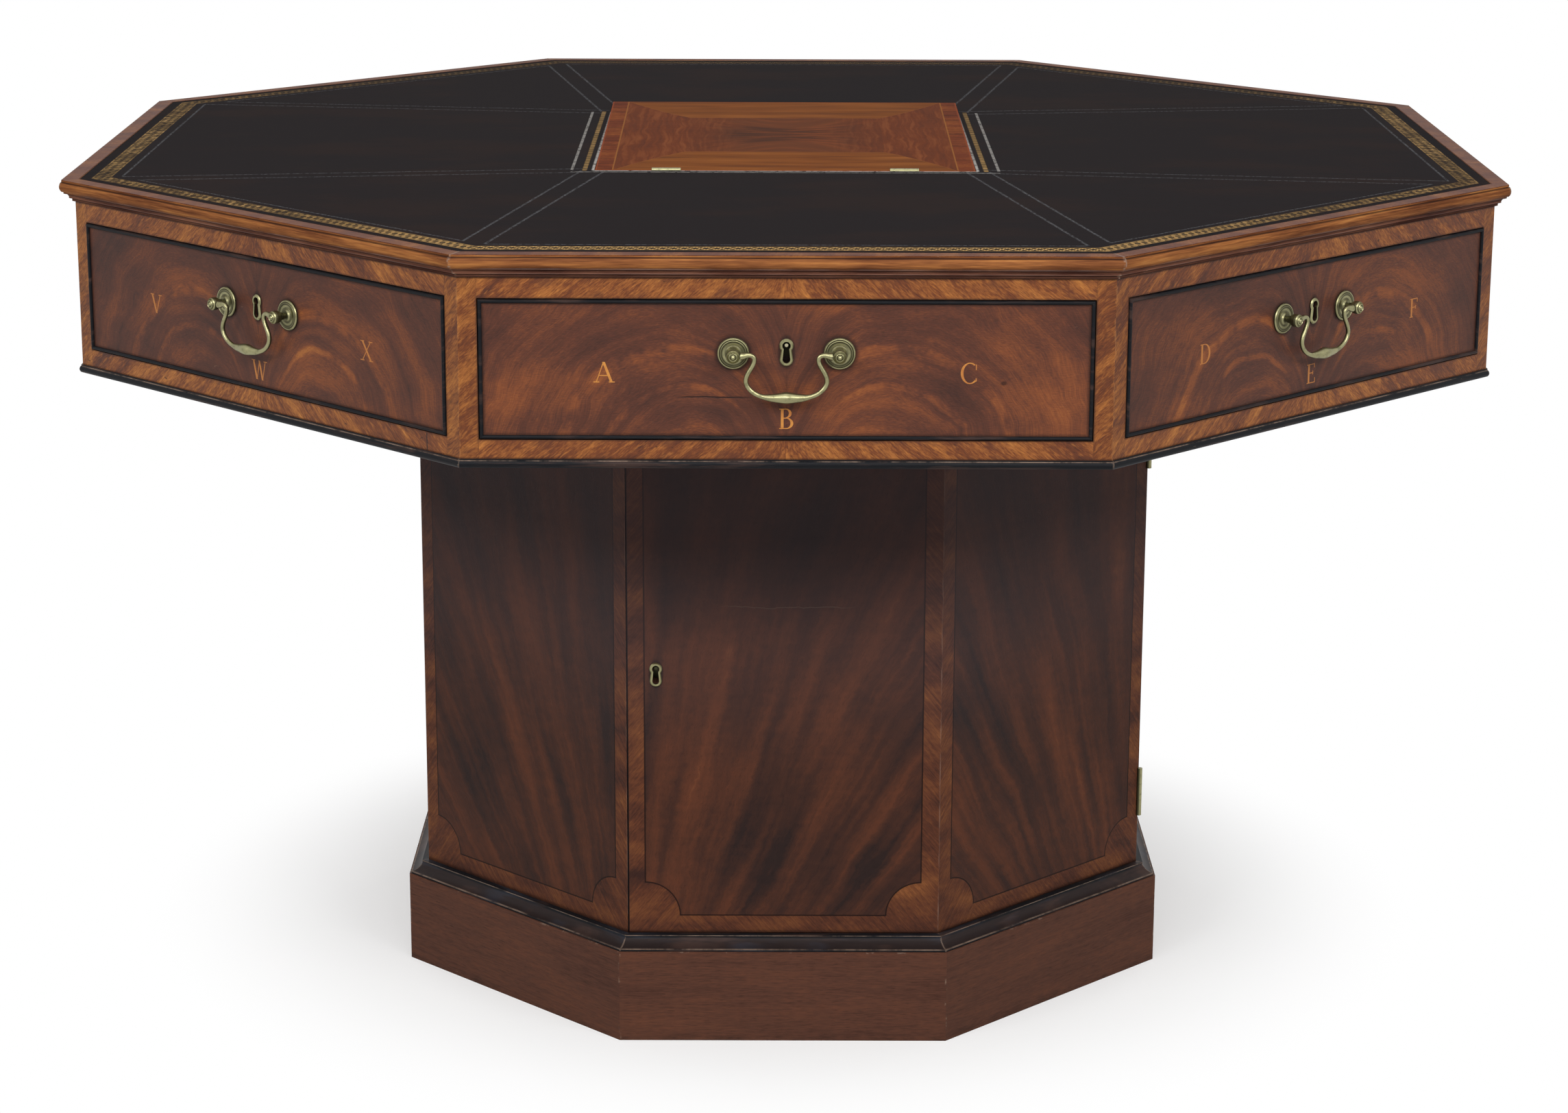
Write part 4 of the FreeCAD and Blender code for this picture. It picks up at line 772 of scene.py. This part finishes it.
def lid_wood(look, sizes):
    """Lid: golden bands front and back, red wavy ends, a dark middle and crossbanded clamps."""
    m = Finish("lid_veneers")
    side, deep = abs(m.x), abs(m.y)
    plain = m.field(m.x, m.y)
    band_grain = plain(12, 420, 2, 3)
    gold_value = m.blended((band_grain, 0.7), (plain(8, 60, 4, 3), 1))
    gold = m.ramp(gold_value, (0.25, paint(88, 50, 26)), (0.5, look.lid_gold), (0.8, paint(142, 92, 46)))
    wave = (plain(30, 16, 1, 2) - 0.5) * 2
    ends_value = m.blended((m.noise(m.x * 60 + wave, m.y * 8, 7, 4), 0.65),
                           (m.noise(m.x * 240 + wave * 2, m.y * 12, 3, 2), 0.75))
    ends = m.ramp(ends_value, (0.22, paint(76, 40, 26)), (0.5, look.lid_red), (0.8, paint(130, 78, 46)))
    waist = 34 * MM + side * side / (90 * MM) * 0.72
    flow = deep / waist
    heart = m.noise(m.x * 14, flow * 2.6, 9, 4, 0.6)
    heart = m.blended((heart, 1.5), (plain(30, 500, 2, 2), 0.3))
    middle = m.ramp(heart, (0.25, paint(58, 36, 28)), (0.5, look.lid_dark), (0.74, paint(112, 62, 34)),
                    (0.95, paint(130, 78, 42)))
    half_long = 92 * MM
    spread = m.high((side - half_long) / (lid_half_x - sizes.clamp - half_long), 0)
    rise = spread * spread * 0.25 + spread * 0.75
    bound = 97 * MM + (lid_half_y - 97 * MM) * rise
    middle = m.layers(middle, (m.rise(flow, 0.95, 1.25) * 0.6, paint(104, 60, 34)),
                    (m.rise(side, 30, 88, MM) * 0.8, ends))
    wood = m.blend(m.rise(side, half_long - 0.2 * MM, half_long + 0.2 * MM), middle, ends)
    patch = plain(20, 22, 5, 3)
    clamp_wood = band_tint(m, look, m.y, m.x, 3, patch)[0]
    clamp_wood = m.blend(0.55, m.shade(clamp_wood, 0.8), paint(108, 50, 26))
    stripe = m.rise(m.noise(m.y * 160, m.x * 8, 14, 2), 0.52, 0.66)
    clamp_wood = m.shade(clamp_wood, 1 - stripe * 0.4)
    clamp_in = lid_half_x - sizes.clamp
    string = m.near(side - clamp_in - 0.3 * MM, 0.8 * MM)
    seam = m.near(deep - bound, 0.9 * MM) * m.fall(side, clamp_in - 1 * MM, clamp_in)
    rim = m.low(lid_half_x - side, lid_half_y - deep)
    wood = m.layers(wood, (m.rise(deep - bound, -0.2, 0.2, MM), gold),
                    (m.rise(side, clamp_in - 0.2 * MM, clamp_in), clamp_wood),
                    (string * 0.7, paint(150, 104, 56)), (seam * 0.35, paint(160, 108, 58)),
                    (m.fall(rim, 0.8, 1.8, MM) * 0.75, paint(138, 72, 44)))
    wood = m.blend(1, wood, (1.04, 0.88, 0.68), "MULTIPLY")
    return m.done(wood, 0.42 + band_grain * 0.1, band_grain, 0.04, gloss=0.004)


# Finishes of the leather and the metals

def leather_skin(trim, sizes):
    """Writing leather: blind lines by the seams, a gilt chain near the edge, gilt bands by the hatch."""
    m = Finish("tooled_leather")
    along, out = m.face()[:2]
    side, deep = abs(m.x), abs(m.y)
    pebble = m.make("ShaderNodeTexVoronoi", {"feature": "F1"}, Vector=m.place, Scale=900)
    plain = m.field(m.x, m.y)
    grain = plain(420, 420, 1, 3)
    rubbed = m.rise(plain(5, 9, 3, 4, 0.6), 0.46, 0.66)
    skin = m.blend(rubbed * 0.7, trim.leather, trim.leather_brown)
    weave = plain(30, 300, 9, 3, 0.7)
    skin = m.shade(skin, 0.7 + grain * 0.3 + weave * 0.25)
    scratch = m.rise(plain(60, 240, 5, 4, 0.75), 0.735, 0.77) * 0.35
    corner_out = leather_out * HALF_TAN
    lines, lanes = [], []
    for far_x, far_y in ((corner_out, leather_out), (leather_out, corner_out)):
        run_x, run_y = far_x - hatch_x, far_y - hatch_y
        run = math.hypot(run_x, run_y)
        off = abs((side - hatch_x) * (run_y / run) - (deep - hatch_y) * (run_x / run))
        ahead = (side - hatch_x) * (run_x / run) + (deep - hatch_y) * (run_y / run)
        lines.append(m.near(off - sizes.seam / 2, 1.5 * MM) * m.rise(ahead, 4, 6, MM))
        lane = m.fall(off, sizes.seam / 2, sizes.seam / 2 + 0.4 * MM)
        lanes.append(lane * m.rise(ahead, 0, 1, MM))
    inside = m.fall(out, sizes.blind_out, sizes.blind_out + 0.6 * MM)
    paired = m.high(*lines) * inside
    frame_line = m.near(out - sizes.blind_out, 1.3 * MM) * (1 - m.high(*lanes))
    hatch_line = m.near(side - hatch_x - HATCH_LINE, 1.6 * MM) * m.fall(deep, hatch_y - 2 * MM, hatch_y)
    dots = m.rise(plain(360, 360, 8, 2), 0.42, 0.56) * 0.85 + 0.12
    blind = m.high(paired, frame_line) * dots
    band_mid = (sizes.gilt_out + sizes.gilt_in) / 2
    band_half = (sizes.gilt_out - sizes.gilt_in) / 2
    level = (out - band_mid) / band_half
    wave = (along * (2 * math.pi / CHAIN_PITCH)).maths("SINE") * 0.62
    chain = m.high(m.near(level - wave, 0.34), m.near(level + wave, 0.34))
    borders = m.near(abs(level) - 0.93, 0.13) * 0.7
    hatching = m.rise((along * (2 * math.pi / HATCHING_PITCH) + level * 2.6).maths("SINE"), -0.2, 0.3)
    gilt_wear_and_shade = m.rise(plain(110, 110, 6, 4, 0.7), 0.38, 0.6)
    gilt_wear_and_shade = gilt_wear_and_shade * (0.35 + m.rise(plain(14, 14, 2, 2), 0.36, 0.6) * 0.65)
    # Painted shade: the gilt is dimmed towards the back of the top.
    gilt_wear_and_shade = gilt_wear_and_shade * (1 - m.rise(m.y, 0.15, 0.4) * 0.85)
    within = m.fall(abs(level), 1, 1.04)
    gold = m.high(chain * (hatching * 0.5 + 0.5), borders) * within
    beside = m.near(side - hatch_x - HATCH_GILT, 2.5 * MM)
    beside = beside * m.fall(deep, hatch_y + 2 * MM, hatch_y + 3 * MM)
    bars = m.rise((m.y * (2 * math.pi / BAR_PITCH)).maths("SINE"), -0.9, -0.6) * 0.4 + 0.35
    # Painted highlight: the gilt keeps its full strength along the front of the top.
    painted_front_glint = m.fall(m.y, -0.56, -0.4) * 0.85 + 0.12
    gold = m.high(gold * m.high(gilt_wear_and_shade * 0.85 + 0.15, painted_front_glint), beside * bars * (gilt_wear_and_shade * 0.6 + 0.4))
    lip = m.high(side - hatch_x, deep - hatch_y)
    # Pale silver rubbing round the hatch, on a crease in front of it and on the tooled line beside it: worn
    # leather, partly painted highlight.
    lip_wear_and_shine = m.rise(plain(160, 160, 2, 4, 0.7), 0.34, 0.52)
    cheek = m.fall(side - hatch_x, 1.6, 3, MM) * m.fall(deep, hatch_y, hatch_y + 1 * MM)
    brow = m.near(m.y + hatch_y + 2.6 * MM, 2.2 * MM) * m.fall(side, hatch_x, hatch_x + 2 * MM)
    crease = m.near(m.y + hatch_y + 10 * MM, 1.8 * MM)
    crease = crease * m.fall(side, hatch_x + 20 * MM, hatch_x + 21 * MM)
    crease = m.high(crease * 0.5, hatch_line * 0.6)
    lip_wear_and_shine = m.high(m.fall(lip, 0.8, 2, MM) * 0.6, cheek, brow * 0.8, crease) * lip_wear_and_shine
    margin = m.rise(out, sizes.gilt_out + 0.5 * MM, sizes.gilt_out + 1.5 * MM)
    skin = m.layers(skin, (scratch, trim.blind), (blind, trim.blind), (gold, trim.gilt),
                    (lip_wear_and_shine * 0.9, paint(184, 180, 174)))
    skin = m.shade(skin, 1 - margin * 0.25)
    height = pebble * 0.35 + grain * 0.3 - blind * 0.8 - gold * 0.5
    rough = 0.58 - gold * 0.15 + grain * 0.08
    return m.done(skin, rough, height, 0.12, metal=gold * 0.35, gloss=0.004)


def brass_metal(trim):
    """Handles, escutcheons and hinges: yellow-green brass, dark in the hollows, with painted shade on faces
    that turn down or sideways and in the keyholes.
    """
    m = Finish("old_brass")
    along, out = m.face()[:2]
    post = m.far(abs(along) - POST_X, m.z - handle_level)
    proud = out - front_out
    dish = m.fall(abs(post - DISH_R), 0.3, 1.6, MM) + m.fall(abs(post - GROOVE_R), 0.2, 0.7, MM)
    dish = m.high(dish, m.fall(abs(post - COLLAR_R), 0.3, 1.2, MM)) * m.fall(proud, 2.6, 3.4, MM)
    rings = m.near(abs(post - 3.2 * MM) - 1 * MM, 0.45 * MM) * m.rise(proud, 17.2, 17.6, MM)
    neck = m.rise(proud, 3.4, 4.4, MM) * m.fall(proud, 9, 10.4, MM) * m.fall(post, 4.4, 5.2, MM)
    front = m.rise(proud, -FRONT_THICK, -FRONT_THICK + 1 * MM)
    foot = m.fall(proud, 0.2, 0.7, MM) * front
    spots = m.rise(m.lumps(240, 4, 0.65), 0.48, 0.7)
    haze = m.lumps(70, 3)
    # Painted shade: the brass darkens on faces that turn down or sideways rather than out or up.
    normal = m.make("ShaderNodeTexCoord", {}, out="Normal")
    right, back, up = m.make("ShaderNodeSeparateXYZ", {}, normal, out=(0, 1, 2))
    outward = (right * m.x + back * m.y) / m.far(m.x, m.y)
    edge = m.fall(m.high(outward, up * 0.8), 0.12, 0.78)
    # The dark mask joins the patina in the hollows and that painted shade.
    dark = m.high(dish * 0.75, foot * 0.8, spots * 0.4, neck * 0.6, rings * 0.8)
    dark = m.high(dark, edge * 0.85)
    tint = m.blend(dark, m.shade(trim.brass, 0.74 + haze * 0.5), trim.patina)
    # Painted shade: brass set back behind the face of a drawer front, and in the door's keyhole, is painted
    # very dark.
    door = m.fall(out, pedestal_out - 1 * MM, pedestal_out - 0.5 * MM)
    door = door * m.fall(abs(along - DOOR_KEY_X), 5, 6, MM)
    door = door * m.fall(m.z, pedestal_high - 0.2, pedestal_high - 0.1)
    sunk_brass_shade = m.high(m.fall(proud, -1, -0.5, MM) * front, door)
    pin = m.rise(proud, -2.4, -2, MM) * m.fall(proud, -1, -0.5, MM) * m.fall(abs(along), 2, 2.4, MM)
    scuffs = m.noise(m.x * 1400, m.y * 500, m.z * 1400, 2)
    tint = m.layers(tint, (sunk_brass_shade * 0.85, paint(20, 19, 15)), (pin, paint(176, 170, 140)))
    return m.done(tint, 0.24 + haze * 0.14 + dark * 0.22, scuffs, 0.02, metal=1)


def iron_metal(trim):
    """Spindle, washer, ring and lock bolts: dull iron with a little rust."""
    m = Finish("old_iron")
    rust = m.rise(m.lumps(60, 5, 0.65), 0.52, 0.68)
    tint = m.blend(rust * 0.6, trim.iron, paint(92, 54, 34))
    fine = m.lumps(900, 2)
    return m.done(tint, 0.42 + rust * 0.3, fine, 0.03, metal=1 - rust * 0.8)


def boxwood_inlay(look):
    """Inlaid letters: fine pale wood, browner where the polish has gathered."""
    m = Finish("boxwood")
    along, _, number = m.face()
    grain = m.noise(along * 160, m.z * 1500, 1, 3)
    age = m.noise(along * 40, m.z * 60, number * 3.3, 3)
    red = m.rise(number, 0.3, 0.6) * 0.45
    tint = m.blend(m.high(m.rise(age, 0.42, 0.75) * 0.7, red), look.boxwood, paint(150, 78, 42))
    return m.done(m.shade(tint, 0.82 + grain * 0.34), 0.36, grain, 0.03, gloss=0.22)


# Modelling helpers

def turned(degrees, axis):
    return Matrix.Rotation(math.radians(degrees), 4, axis)


def clear_selection():
    if bpy.context.object and bpy.context.object.mode != "OBJECT":
        bpy.ops.object.mode_set(mode="OBJECT")
    bpy.ops.object.select_all(action="DESELECT")


def choose(piece):
    """Selects one piece and makes it the active one."""
    clear_selection()
    piece.select_set(True)
    bpy.context.view_layer.objects.active = piece


def pick(piece, test):
    """Selects, in edit mode, the corners that pass the test, and says how many they are."""
    mesh = bmesh.from_edit_mesh(piece.data)
    bpy.ops.mesh.select_all(action="DESELECT")
    found = 0
    for corner in mesh.verts:
        corner.select = bool(test(corner.co))
        found += corner.select
    mesh.select_flush(True)
    bmesh.update_edit_mesh(piece.data)
    return found


def line(x_start, start, x_stop, stop, wide):
    """A flat stroke between two heights of the letter, its ends level."""
    (low, x_low), (high, x_high) = sorted(((start, x_start), (stop, x_stop)), key=lambda end: end[0])
    middle = (low + high) / 2
    clear_selection()
    bpy.ops.mesh.primitive_plane_add(size=1.0)
    piece = bpy.context.object
    bpy.ops.object.mode_set(mode="EDIT")
    bpy.ops.transform.resize(value=(wide, high - low, 1.0))
    bpy.ops.transform.translate(value=(x_low, middle, 0.0))
    pick(piece, lambda place: place.y > middle)
    bpy.ops.transform.translate(value=(x_high - x_low, 0.0, 0.0))
    bpy.ops.object.mode_set(mode="OBJECT")
    return [piece]


def bowl(x, y, radius_x, radius_y, start, stop):
    """A round stroke, thick at its sides and thin above and below, from start to stop in degrees."""
    clear_selection()
    bpy.ops.mesh.primitive_circle_add(vertices=2 * ARC_STEPS, radius=1.0)
    piece = bpy.context.object
    bpy.ops.object.mode_set(mode="EDIT")
    half_turn = 180.0 / ARC_STEPS

    def outside(place):
        angle = math.degrees(math.atan2(place.y, place.x)) - start
        return angle % 360 > stop - start + half_turn / 2

    if stop - start < 360:
        pick(piece, outside)
        bpy.ops.mesh.delete(type="VERT")
    bpy.ops.mesh.select_all(action="SELECT")
    bpy.ops.transform.resize(value=(radius_x, radius_y, 1.0), center_override=(0.0, 0.0, 0.0))
    bpy.ops.mesh.extrude_edges_move()
    inner = ((radius_x - THICK_SHARE) / radius_x, (radius_y - THIN_SHARE) / radius_y, 1.0)
    bpy.ops.transform.resize(value=inner, center_override=(0.0, 0.0, 0.0))
    bpy.ops.mesh.select_all(action="SELECT")
    bpy.ops.transform.translate(value=(x, y, 0.0))
    bpy.ops.object.mode_set(mode="OBJECT")
    return [piece]


def serif(x, level):
    """The small level bar that ends a stem."""
    inside = THIN_SHARE / 2 if level < 0.5 else -THIN_SHARE / 2
    low, high = level + inside - THIN_SHARE / 2, level + inside + THIN_SHARE / 2
    return line(x, low, x, high, THICK_SHARE + 2 * SERIF_SHARE)


def post(x):
    """A full-height stem with a serif at both ends."""
    return line(x, 0.0, x, 1.0, THICK_SHARE) + serif(x, 0.0) + serif(x, 1.0)


def bar(x_low, x_high, level):
    """A thin level arm."""
    middle = (x_low + x_high) / 2
    half = THIN_SHARE / 2
    level = min(max(level, half), 1.0 - half)
    return line(middle, level - half, middle, level + half, x_high - x_low)


def beak(x, level, reach):
    """The upright spur at the end of an arm."""
    return line(x, level, x, level + reach, THIN_SHARE)


def letter_strokes(letter):
    """The flat strokes that LETTER_PARTS lists for a letter."""
    strokes = []
    for part in LETTER_PARTS[letter].split(";"):
        kind, *values = part.split()
        strokes += STROKE_KINDS[kind](*[STROKE_WIDTHS.get(value) or float(value) for value in values])
    return strokes


STROKE_KINDS = {"line": line, "bowl": bowl, "serif": serif, "post": post, "bar": bar, "beak": beak}


def thickened(stroke, deep):
    """Gives a flat stroke its thickness."""
    choose(stroke)
    bpy.ops.object.mode_set(mode="EDIT")
    bpy.ops.mesh.select_all(action="SELECT")
    bpy.ops.mesh.extrude_region_move(TRANSFORM_OT_translate={"value": (0.0, 0.0, deep)})
    bpy.ops.mesh.select_all(action="SELECT")
    bpy.ops.mesh.normals_make_consistent(inside=False)
    bpy.ops.object.mode_set(mode="OBJECT")
    return stroke


def united(strokes):
    """Joins the strokes of a letter into one solid, one stroke after the other."""
    piece = strokes[0]
    for stroke in strokes[1:]:
        choose(piece)
        stroke.select_set(True)
        mark(piece, False)
        mark(stroke, True)
        bpy.ops.object.join()
        bpy.ops.object.mode_set(mode="EDIT")
        bpy.ops.mesh.intersect_boolean(operation="UNION", solver="EXACT")
        bpy.ops.object.mode_set(mode="OBJECT")
    return piece


def mark(piece, chosen):
    """Selects all of a mesh or none of it."""
    for part in (piece.data.vertices, piece.data.edges, piece.data.polygons):
        part.foreach_set("select", [chosen] * len(part))


def inlaid_letter(letter, face, shares, sizes, finish):
    """One letter let into a drawer front, made flat at the origin and then stood on its face."""
    deep = LETTER_DEEP / sizes.letter_height
    piece = united([thickened(stroke, deep) for stroke in letter_strokes(letter)])
    piece.name = "letter_" + letter.lower()
    piece.data.name = piece.name
    corners = [corner.co.x for corner in piece.data.vertices]
    middle = (min(corners) + max(corners)) / 2
    along = (shares[0] * 2 - 1) * core_half
    level = core_high - shares[1] * (core_high - core_low)
    out = front_out + sizes.letter_proud - LETTER_DEEP
    scale = Matrix.Scale(sizes.letter_height, 4)
    centred = Matrix.Translation((-middle, -0.5, 0.0))
    place = Matrix.Translation((along, -out, level))
    stand = Matrix.Rotation(STEP * face, 4, "Z") @ place @ turned(90.0, "X")
    piece.matrix_world = stand @ scale @ centred
    choose(piece)
    bpy.ops.object.transform_apply(location=True, rotation=True, scale=True)
    piece.data.materials.append(finish)
    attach(piece, "drawer_" + str(face + 1))
    return piece


def dress(names, material):
    """Gives the frame's nodes their finish."""
    for name in names:
        slots = nodes[name].data.materials
        slots.clear()
        slots.append(material)


def each_drawer(ending=""):
    return ["drawer_" + str(number + 1) + ending for number in range(SIDES)]


class PieceOperator:
    """What every operator of this table shares."""
    bl_options = {"REGISTER", "UNDO"}

    @property
    def woods(self):
        return bpy.context.scene.rent_table_woods

    @property
    def trim(self):
        return bpy.context.scene.rent_table_trim

    @property
    def sizes(self):
        return bpy.context.scene.rent_table_sizes


class RENTTABLE_OT_camera(PieceOperator, bpy.types.Operator):
    """Sets the camera where the photograph was taken."""
    bl_idname = "rent_table.camera"
    bl_label = "Camera"

    def execute(self, context):
        level = turned(-CAMERA_YAW_DEG, "Z")
        turn = level @ turned(90.0 + CAMERA_PITCH_DEG, "X") @ turned(CAMERA_ROLL_DEG, "Z")
        clear_selection()
        bpy.ops.object.camera_add()
        camera = bpy.context.object
        camera.name = "camera"
        camera.matrix_world = Matrix.Translation(CAMERA_PLACE) @ turn
        camera.data.sensor_fit = "HORIZONTAL"
        camera.data.sensor_width = SENSOR_MM
        camera.data.lens = FOCAL_PIXELS / PHOTO_WIDE * SENSOR_MM
        camera.data.dof.use_dof = False
        context.scene.camera = camera
        return {"FINISHED"}


class RENTTABLE_OT_stage(PieceOperator, bpy.types.Operator):
    """Makes the pale floor, the background and the soft lamps."""
    bl_idname = "rent_table.stage"
    bl_label = "Stage"

    def execute(self, context):
        context.scene.view_settings.view_transform = "Standard"
        clear_selection()
        bpy.ops.mesh.primitive_circle_add(vertices=96, radius=FLOOR_RADIUS, fill_type="NGON")
        floor = bpy.context.object
        floor.name = "floor"
        bpy.ops.object.mode_set(mode="EDIT")
        bpy.ops.mesh.inset(thickness=FLOOR_INSET)
        bpy.ops.object.mode_set(mode="OBJECT")
        floor.data.materials.append(self.floor_paint())
        self.background(context.scene)
        for name, turn, rise, watts, glossy in LAMPS:
            around, rise = math.radians(turn), math.radians(rise)
            level = LAMP_AWAY * math.cos(rise)
            height = AIM_LEVEL + LAMP_AWAY * math.sin(rise)
            place = (level * math.sin(around), -level * math.cos(around), height)
            self.lamp(name, place, LAMP_SIZE, watts, glossy)
        self.lamp("lamp_over", OVER_PLACE, OVER_SIZE, OVER_WATTS)
        return {"FINISHED"}

    def floor_paint(self):
        """White paint that takes the table's shadow and goes over into the white background round it."""
        m = Finish("floor_paint")
        far = m.rise(m.far(m.x, m.y - FLOOR_CENTRE_Y), *FLOOR_FADE)
        seen = m.seen()
        paper = m.make("ShaderNodeBsdfDiffuse", {}, Color=(FLOOR_GREY, FLOOR_GREY, FLOOR_GREY, 1.0))
        glow = m.make("ShaderNodeEmission", {}, Color=WHITE, Strength=seen * FLOOR_GLOW)
        near = m.make("ShaderNodeAddShader", {}, paper, glow)
        white = m.make("ShaderNodeEmission", {}, Color=WHITE, Strength=1.0)
        m.show(m.make("ShaderNodeMixShader", {}, seen * far, near, white))
        return m.material

    def background(self, scene):
        """Soft room light that is seen as white."""
        scene.world = bpy.data.worlds.new("room")
        scene.world.use_nodes = True
        m = Nodes(scene.world.node_tree)
        strength = m.make("ShaderNodeMapRange", {}, m.seen(), 0.0, 1.0, ROOM_LIGHT, 1.0)
        m.show(m.make("ShaderNodeBackground", {}, Color=WHITE, Strength=strength), "World")

    def lamp(self, name, place, size, watts, glossy=True):
        clear_selection()
        bpy.ops.object.light_add(type="AREA", location=place)
        lamp = bpy.context.object
        lamp.name = name
        lamp.visible_glossy = glossy
        lamp.data.shape = "RECTANGLE"
        lamp.data.size, lamp.data.size_y = size
        lamp.data.energy = watts
        aim = Vector((0.0, 0.0, AIM_LEVEL)) - Vector(place)
        lamp.rotation_euler = aim.to_track_quat("-Z", "Y").to_euler()


class RENTTABLE_OT_drawers(PieceOperator, bpy.types.Operator):
    """Finishes the drawer fronts and linings."""
    bl_idname = "rent_table.drawers"
    bl_label = "Drawers"

    def execute(self, context):
        dress(each_drawer(), flame_wood(self.woods, self.sizes))
        return {"FINISHED"}


class RENTTABLE_OT_letters(PieceOperator, bpy.types.Operator):
    """Lets three boxwood letters into each drawer front."""
    bl_idname = "rent_table.letters"
    bl_label = "Inlaid letters"

    def execute(self, context):
        finish = boxwood_inlay(self.woods)
        letters = iter(LETTER_PARTS)
        for face in range(SIDES):
            for shares in LETTER_PLACE_SHARES:
                inlaid_letter(next(letters), face, shares, self.sizes, finish)
        return {"FINISHED"}


class RENTTABLE_OT_drum(PieceOperator, bpy.types.Operator):
    """Finishes the frieze, the moulded edge and the inner boards."""
    bl_idname = "rent_table.drum"
    bl_label = "Drum"

    def execute(self, context):
        dress(["drum_rails"], frieze_wood(self.woods))
        dress(["edge_moulding"], edge_wood(self.woods, self.trim))
        inner = ["drum_bottom", "drum_partitions", "top_boards", "well_box", "cupboard_boards"]
        dress(inner, oak_wood(self.woods))
        return {"FINISHED"}


class RENTTABLE_OT_top(PieceOperator, bpy.types.Operator):
    """Finishes the leather and the lid of the well."""
    bl_idname = "rent_table.top"
    bl_label = "Leather and lid"

    def execute(self, context):
        dress(["leather_panels"], leather_skin(self.trim, self.sizes))
        dress(["well_lid"], lid_wood(self.woods, self.sizes))
        return {"FINISHED"}


class RENTTABLE_OT_pedestal(PieceOperator, bpy.types.Operator):
    """Finishes the pedestal, its door and the plinth."""
    bl_idname = "rent_table.pedestal"
    bl_label = "Pedestal"

    def execute(self, context):
        dress(["pedestal_carcase", "cupboard_door"], ribbon_wood(self.woods, self.sizes))
        dress(["plinth_boards"], plinth_wood(self.woods, self.trim))
        return {"FINISHED"}


class RENTTABLE_OT_ebony(PieceOperator, bpy.types.Operator):
    """Finishes the blackened mouldings and cockbeads."""
    bl_idname = "rent_table.ebony"
    bl_label = "Ebonised mouldings"

    def execute(self, context):
        mouldings = ["plinth_moulding", "bead_moulding"]
        dress(mouldings + each_drawer("_cockbead"), ebonised(self.woods, self.trim))
        return {"FINISHED"}


class RENTTABLE_OT_metals(PieceOperator, bpy.types.Operator):
    """Finishes the brass fittings and the iron gear."""
    bl_idname = "rent_table.metals"
    bl_label = "Brass and iron"

    def execute(self, context):
        hinges = ["door_hinge_fixed", "door_brass", "lid_hinge_fixed", "lid_hinge_moving"]
        dress(hinges + each_drawer("_brass") + each_drawer("_bail"), brass_metal(self.trim))
        dress(["spindle", "door_bolt"] + each_drawer("_bolt"), iron_metal(self.trim))
        return {"FINISHED"}


OPERATORS = (
    RENTTABLE_OT_camera, RENTTABLE_OT_stage, RENTTABLE_OT_drawers, RENTTABLE_OT_letters, RENTTABLE_OT_drum,
    RENTTABLE_OT_top, RENTTABLE_OT_pedestal, RENTTABLE_OT_ebony, RENTTABLE_OT_metals,
)


class RENTTABLE_PT_sidebar(bpy.types.Panel):
    """Lists the pieces of the rent table and their settings."""
    bl_idname = "RENTTABLE_PT_sidebar"
    bl_label = "Rent Table"
    bl_space_type = "VIEW_3D"
    bl_region_type = "UI"
    bl_category = "Rent Table"

    def draw(self, context):
        for kind in OPERATORS:
            self.layout.operator(kind.bl_idname)
        for name in GROUPS:
            group = getattr(context.scene, name)
            for key in group.bl_rna.properties.keys():
                if key not in ("rna_type", "name"):
                    self.layout.prop(group, key)


GROUPS = {
    "rent_table_woods": RentTableWoods, "rent_table_trim": RentTableTrim, "rent_table_sizes": RentTableSizes,
}
CLASSES = tuple(GROUPS.values()) + OPERATORS + (RENTTABLE_PT_sidebar,)


def register():
    for kind in CLASSES:
        bpy.utils.register_class(kind)
    for name, group in GROUPS.items():
        setattr(bpy.types.Scene, name, PointerProperty(type=group))


def unregister():
    for name in GROUPS:
        delattr(bpy.types.Scene, name)
    for kind in reversed(CLASSES):
        bpy.utils.unregister_class(kind)


def main():
    register()
    for kind in OPERATORS:
        group, name = kind.bl_idname.split(".")
        getattr(getattr(bpy.ops, group), name)()


if __name__ == "__main__":
    main()
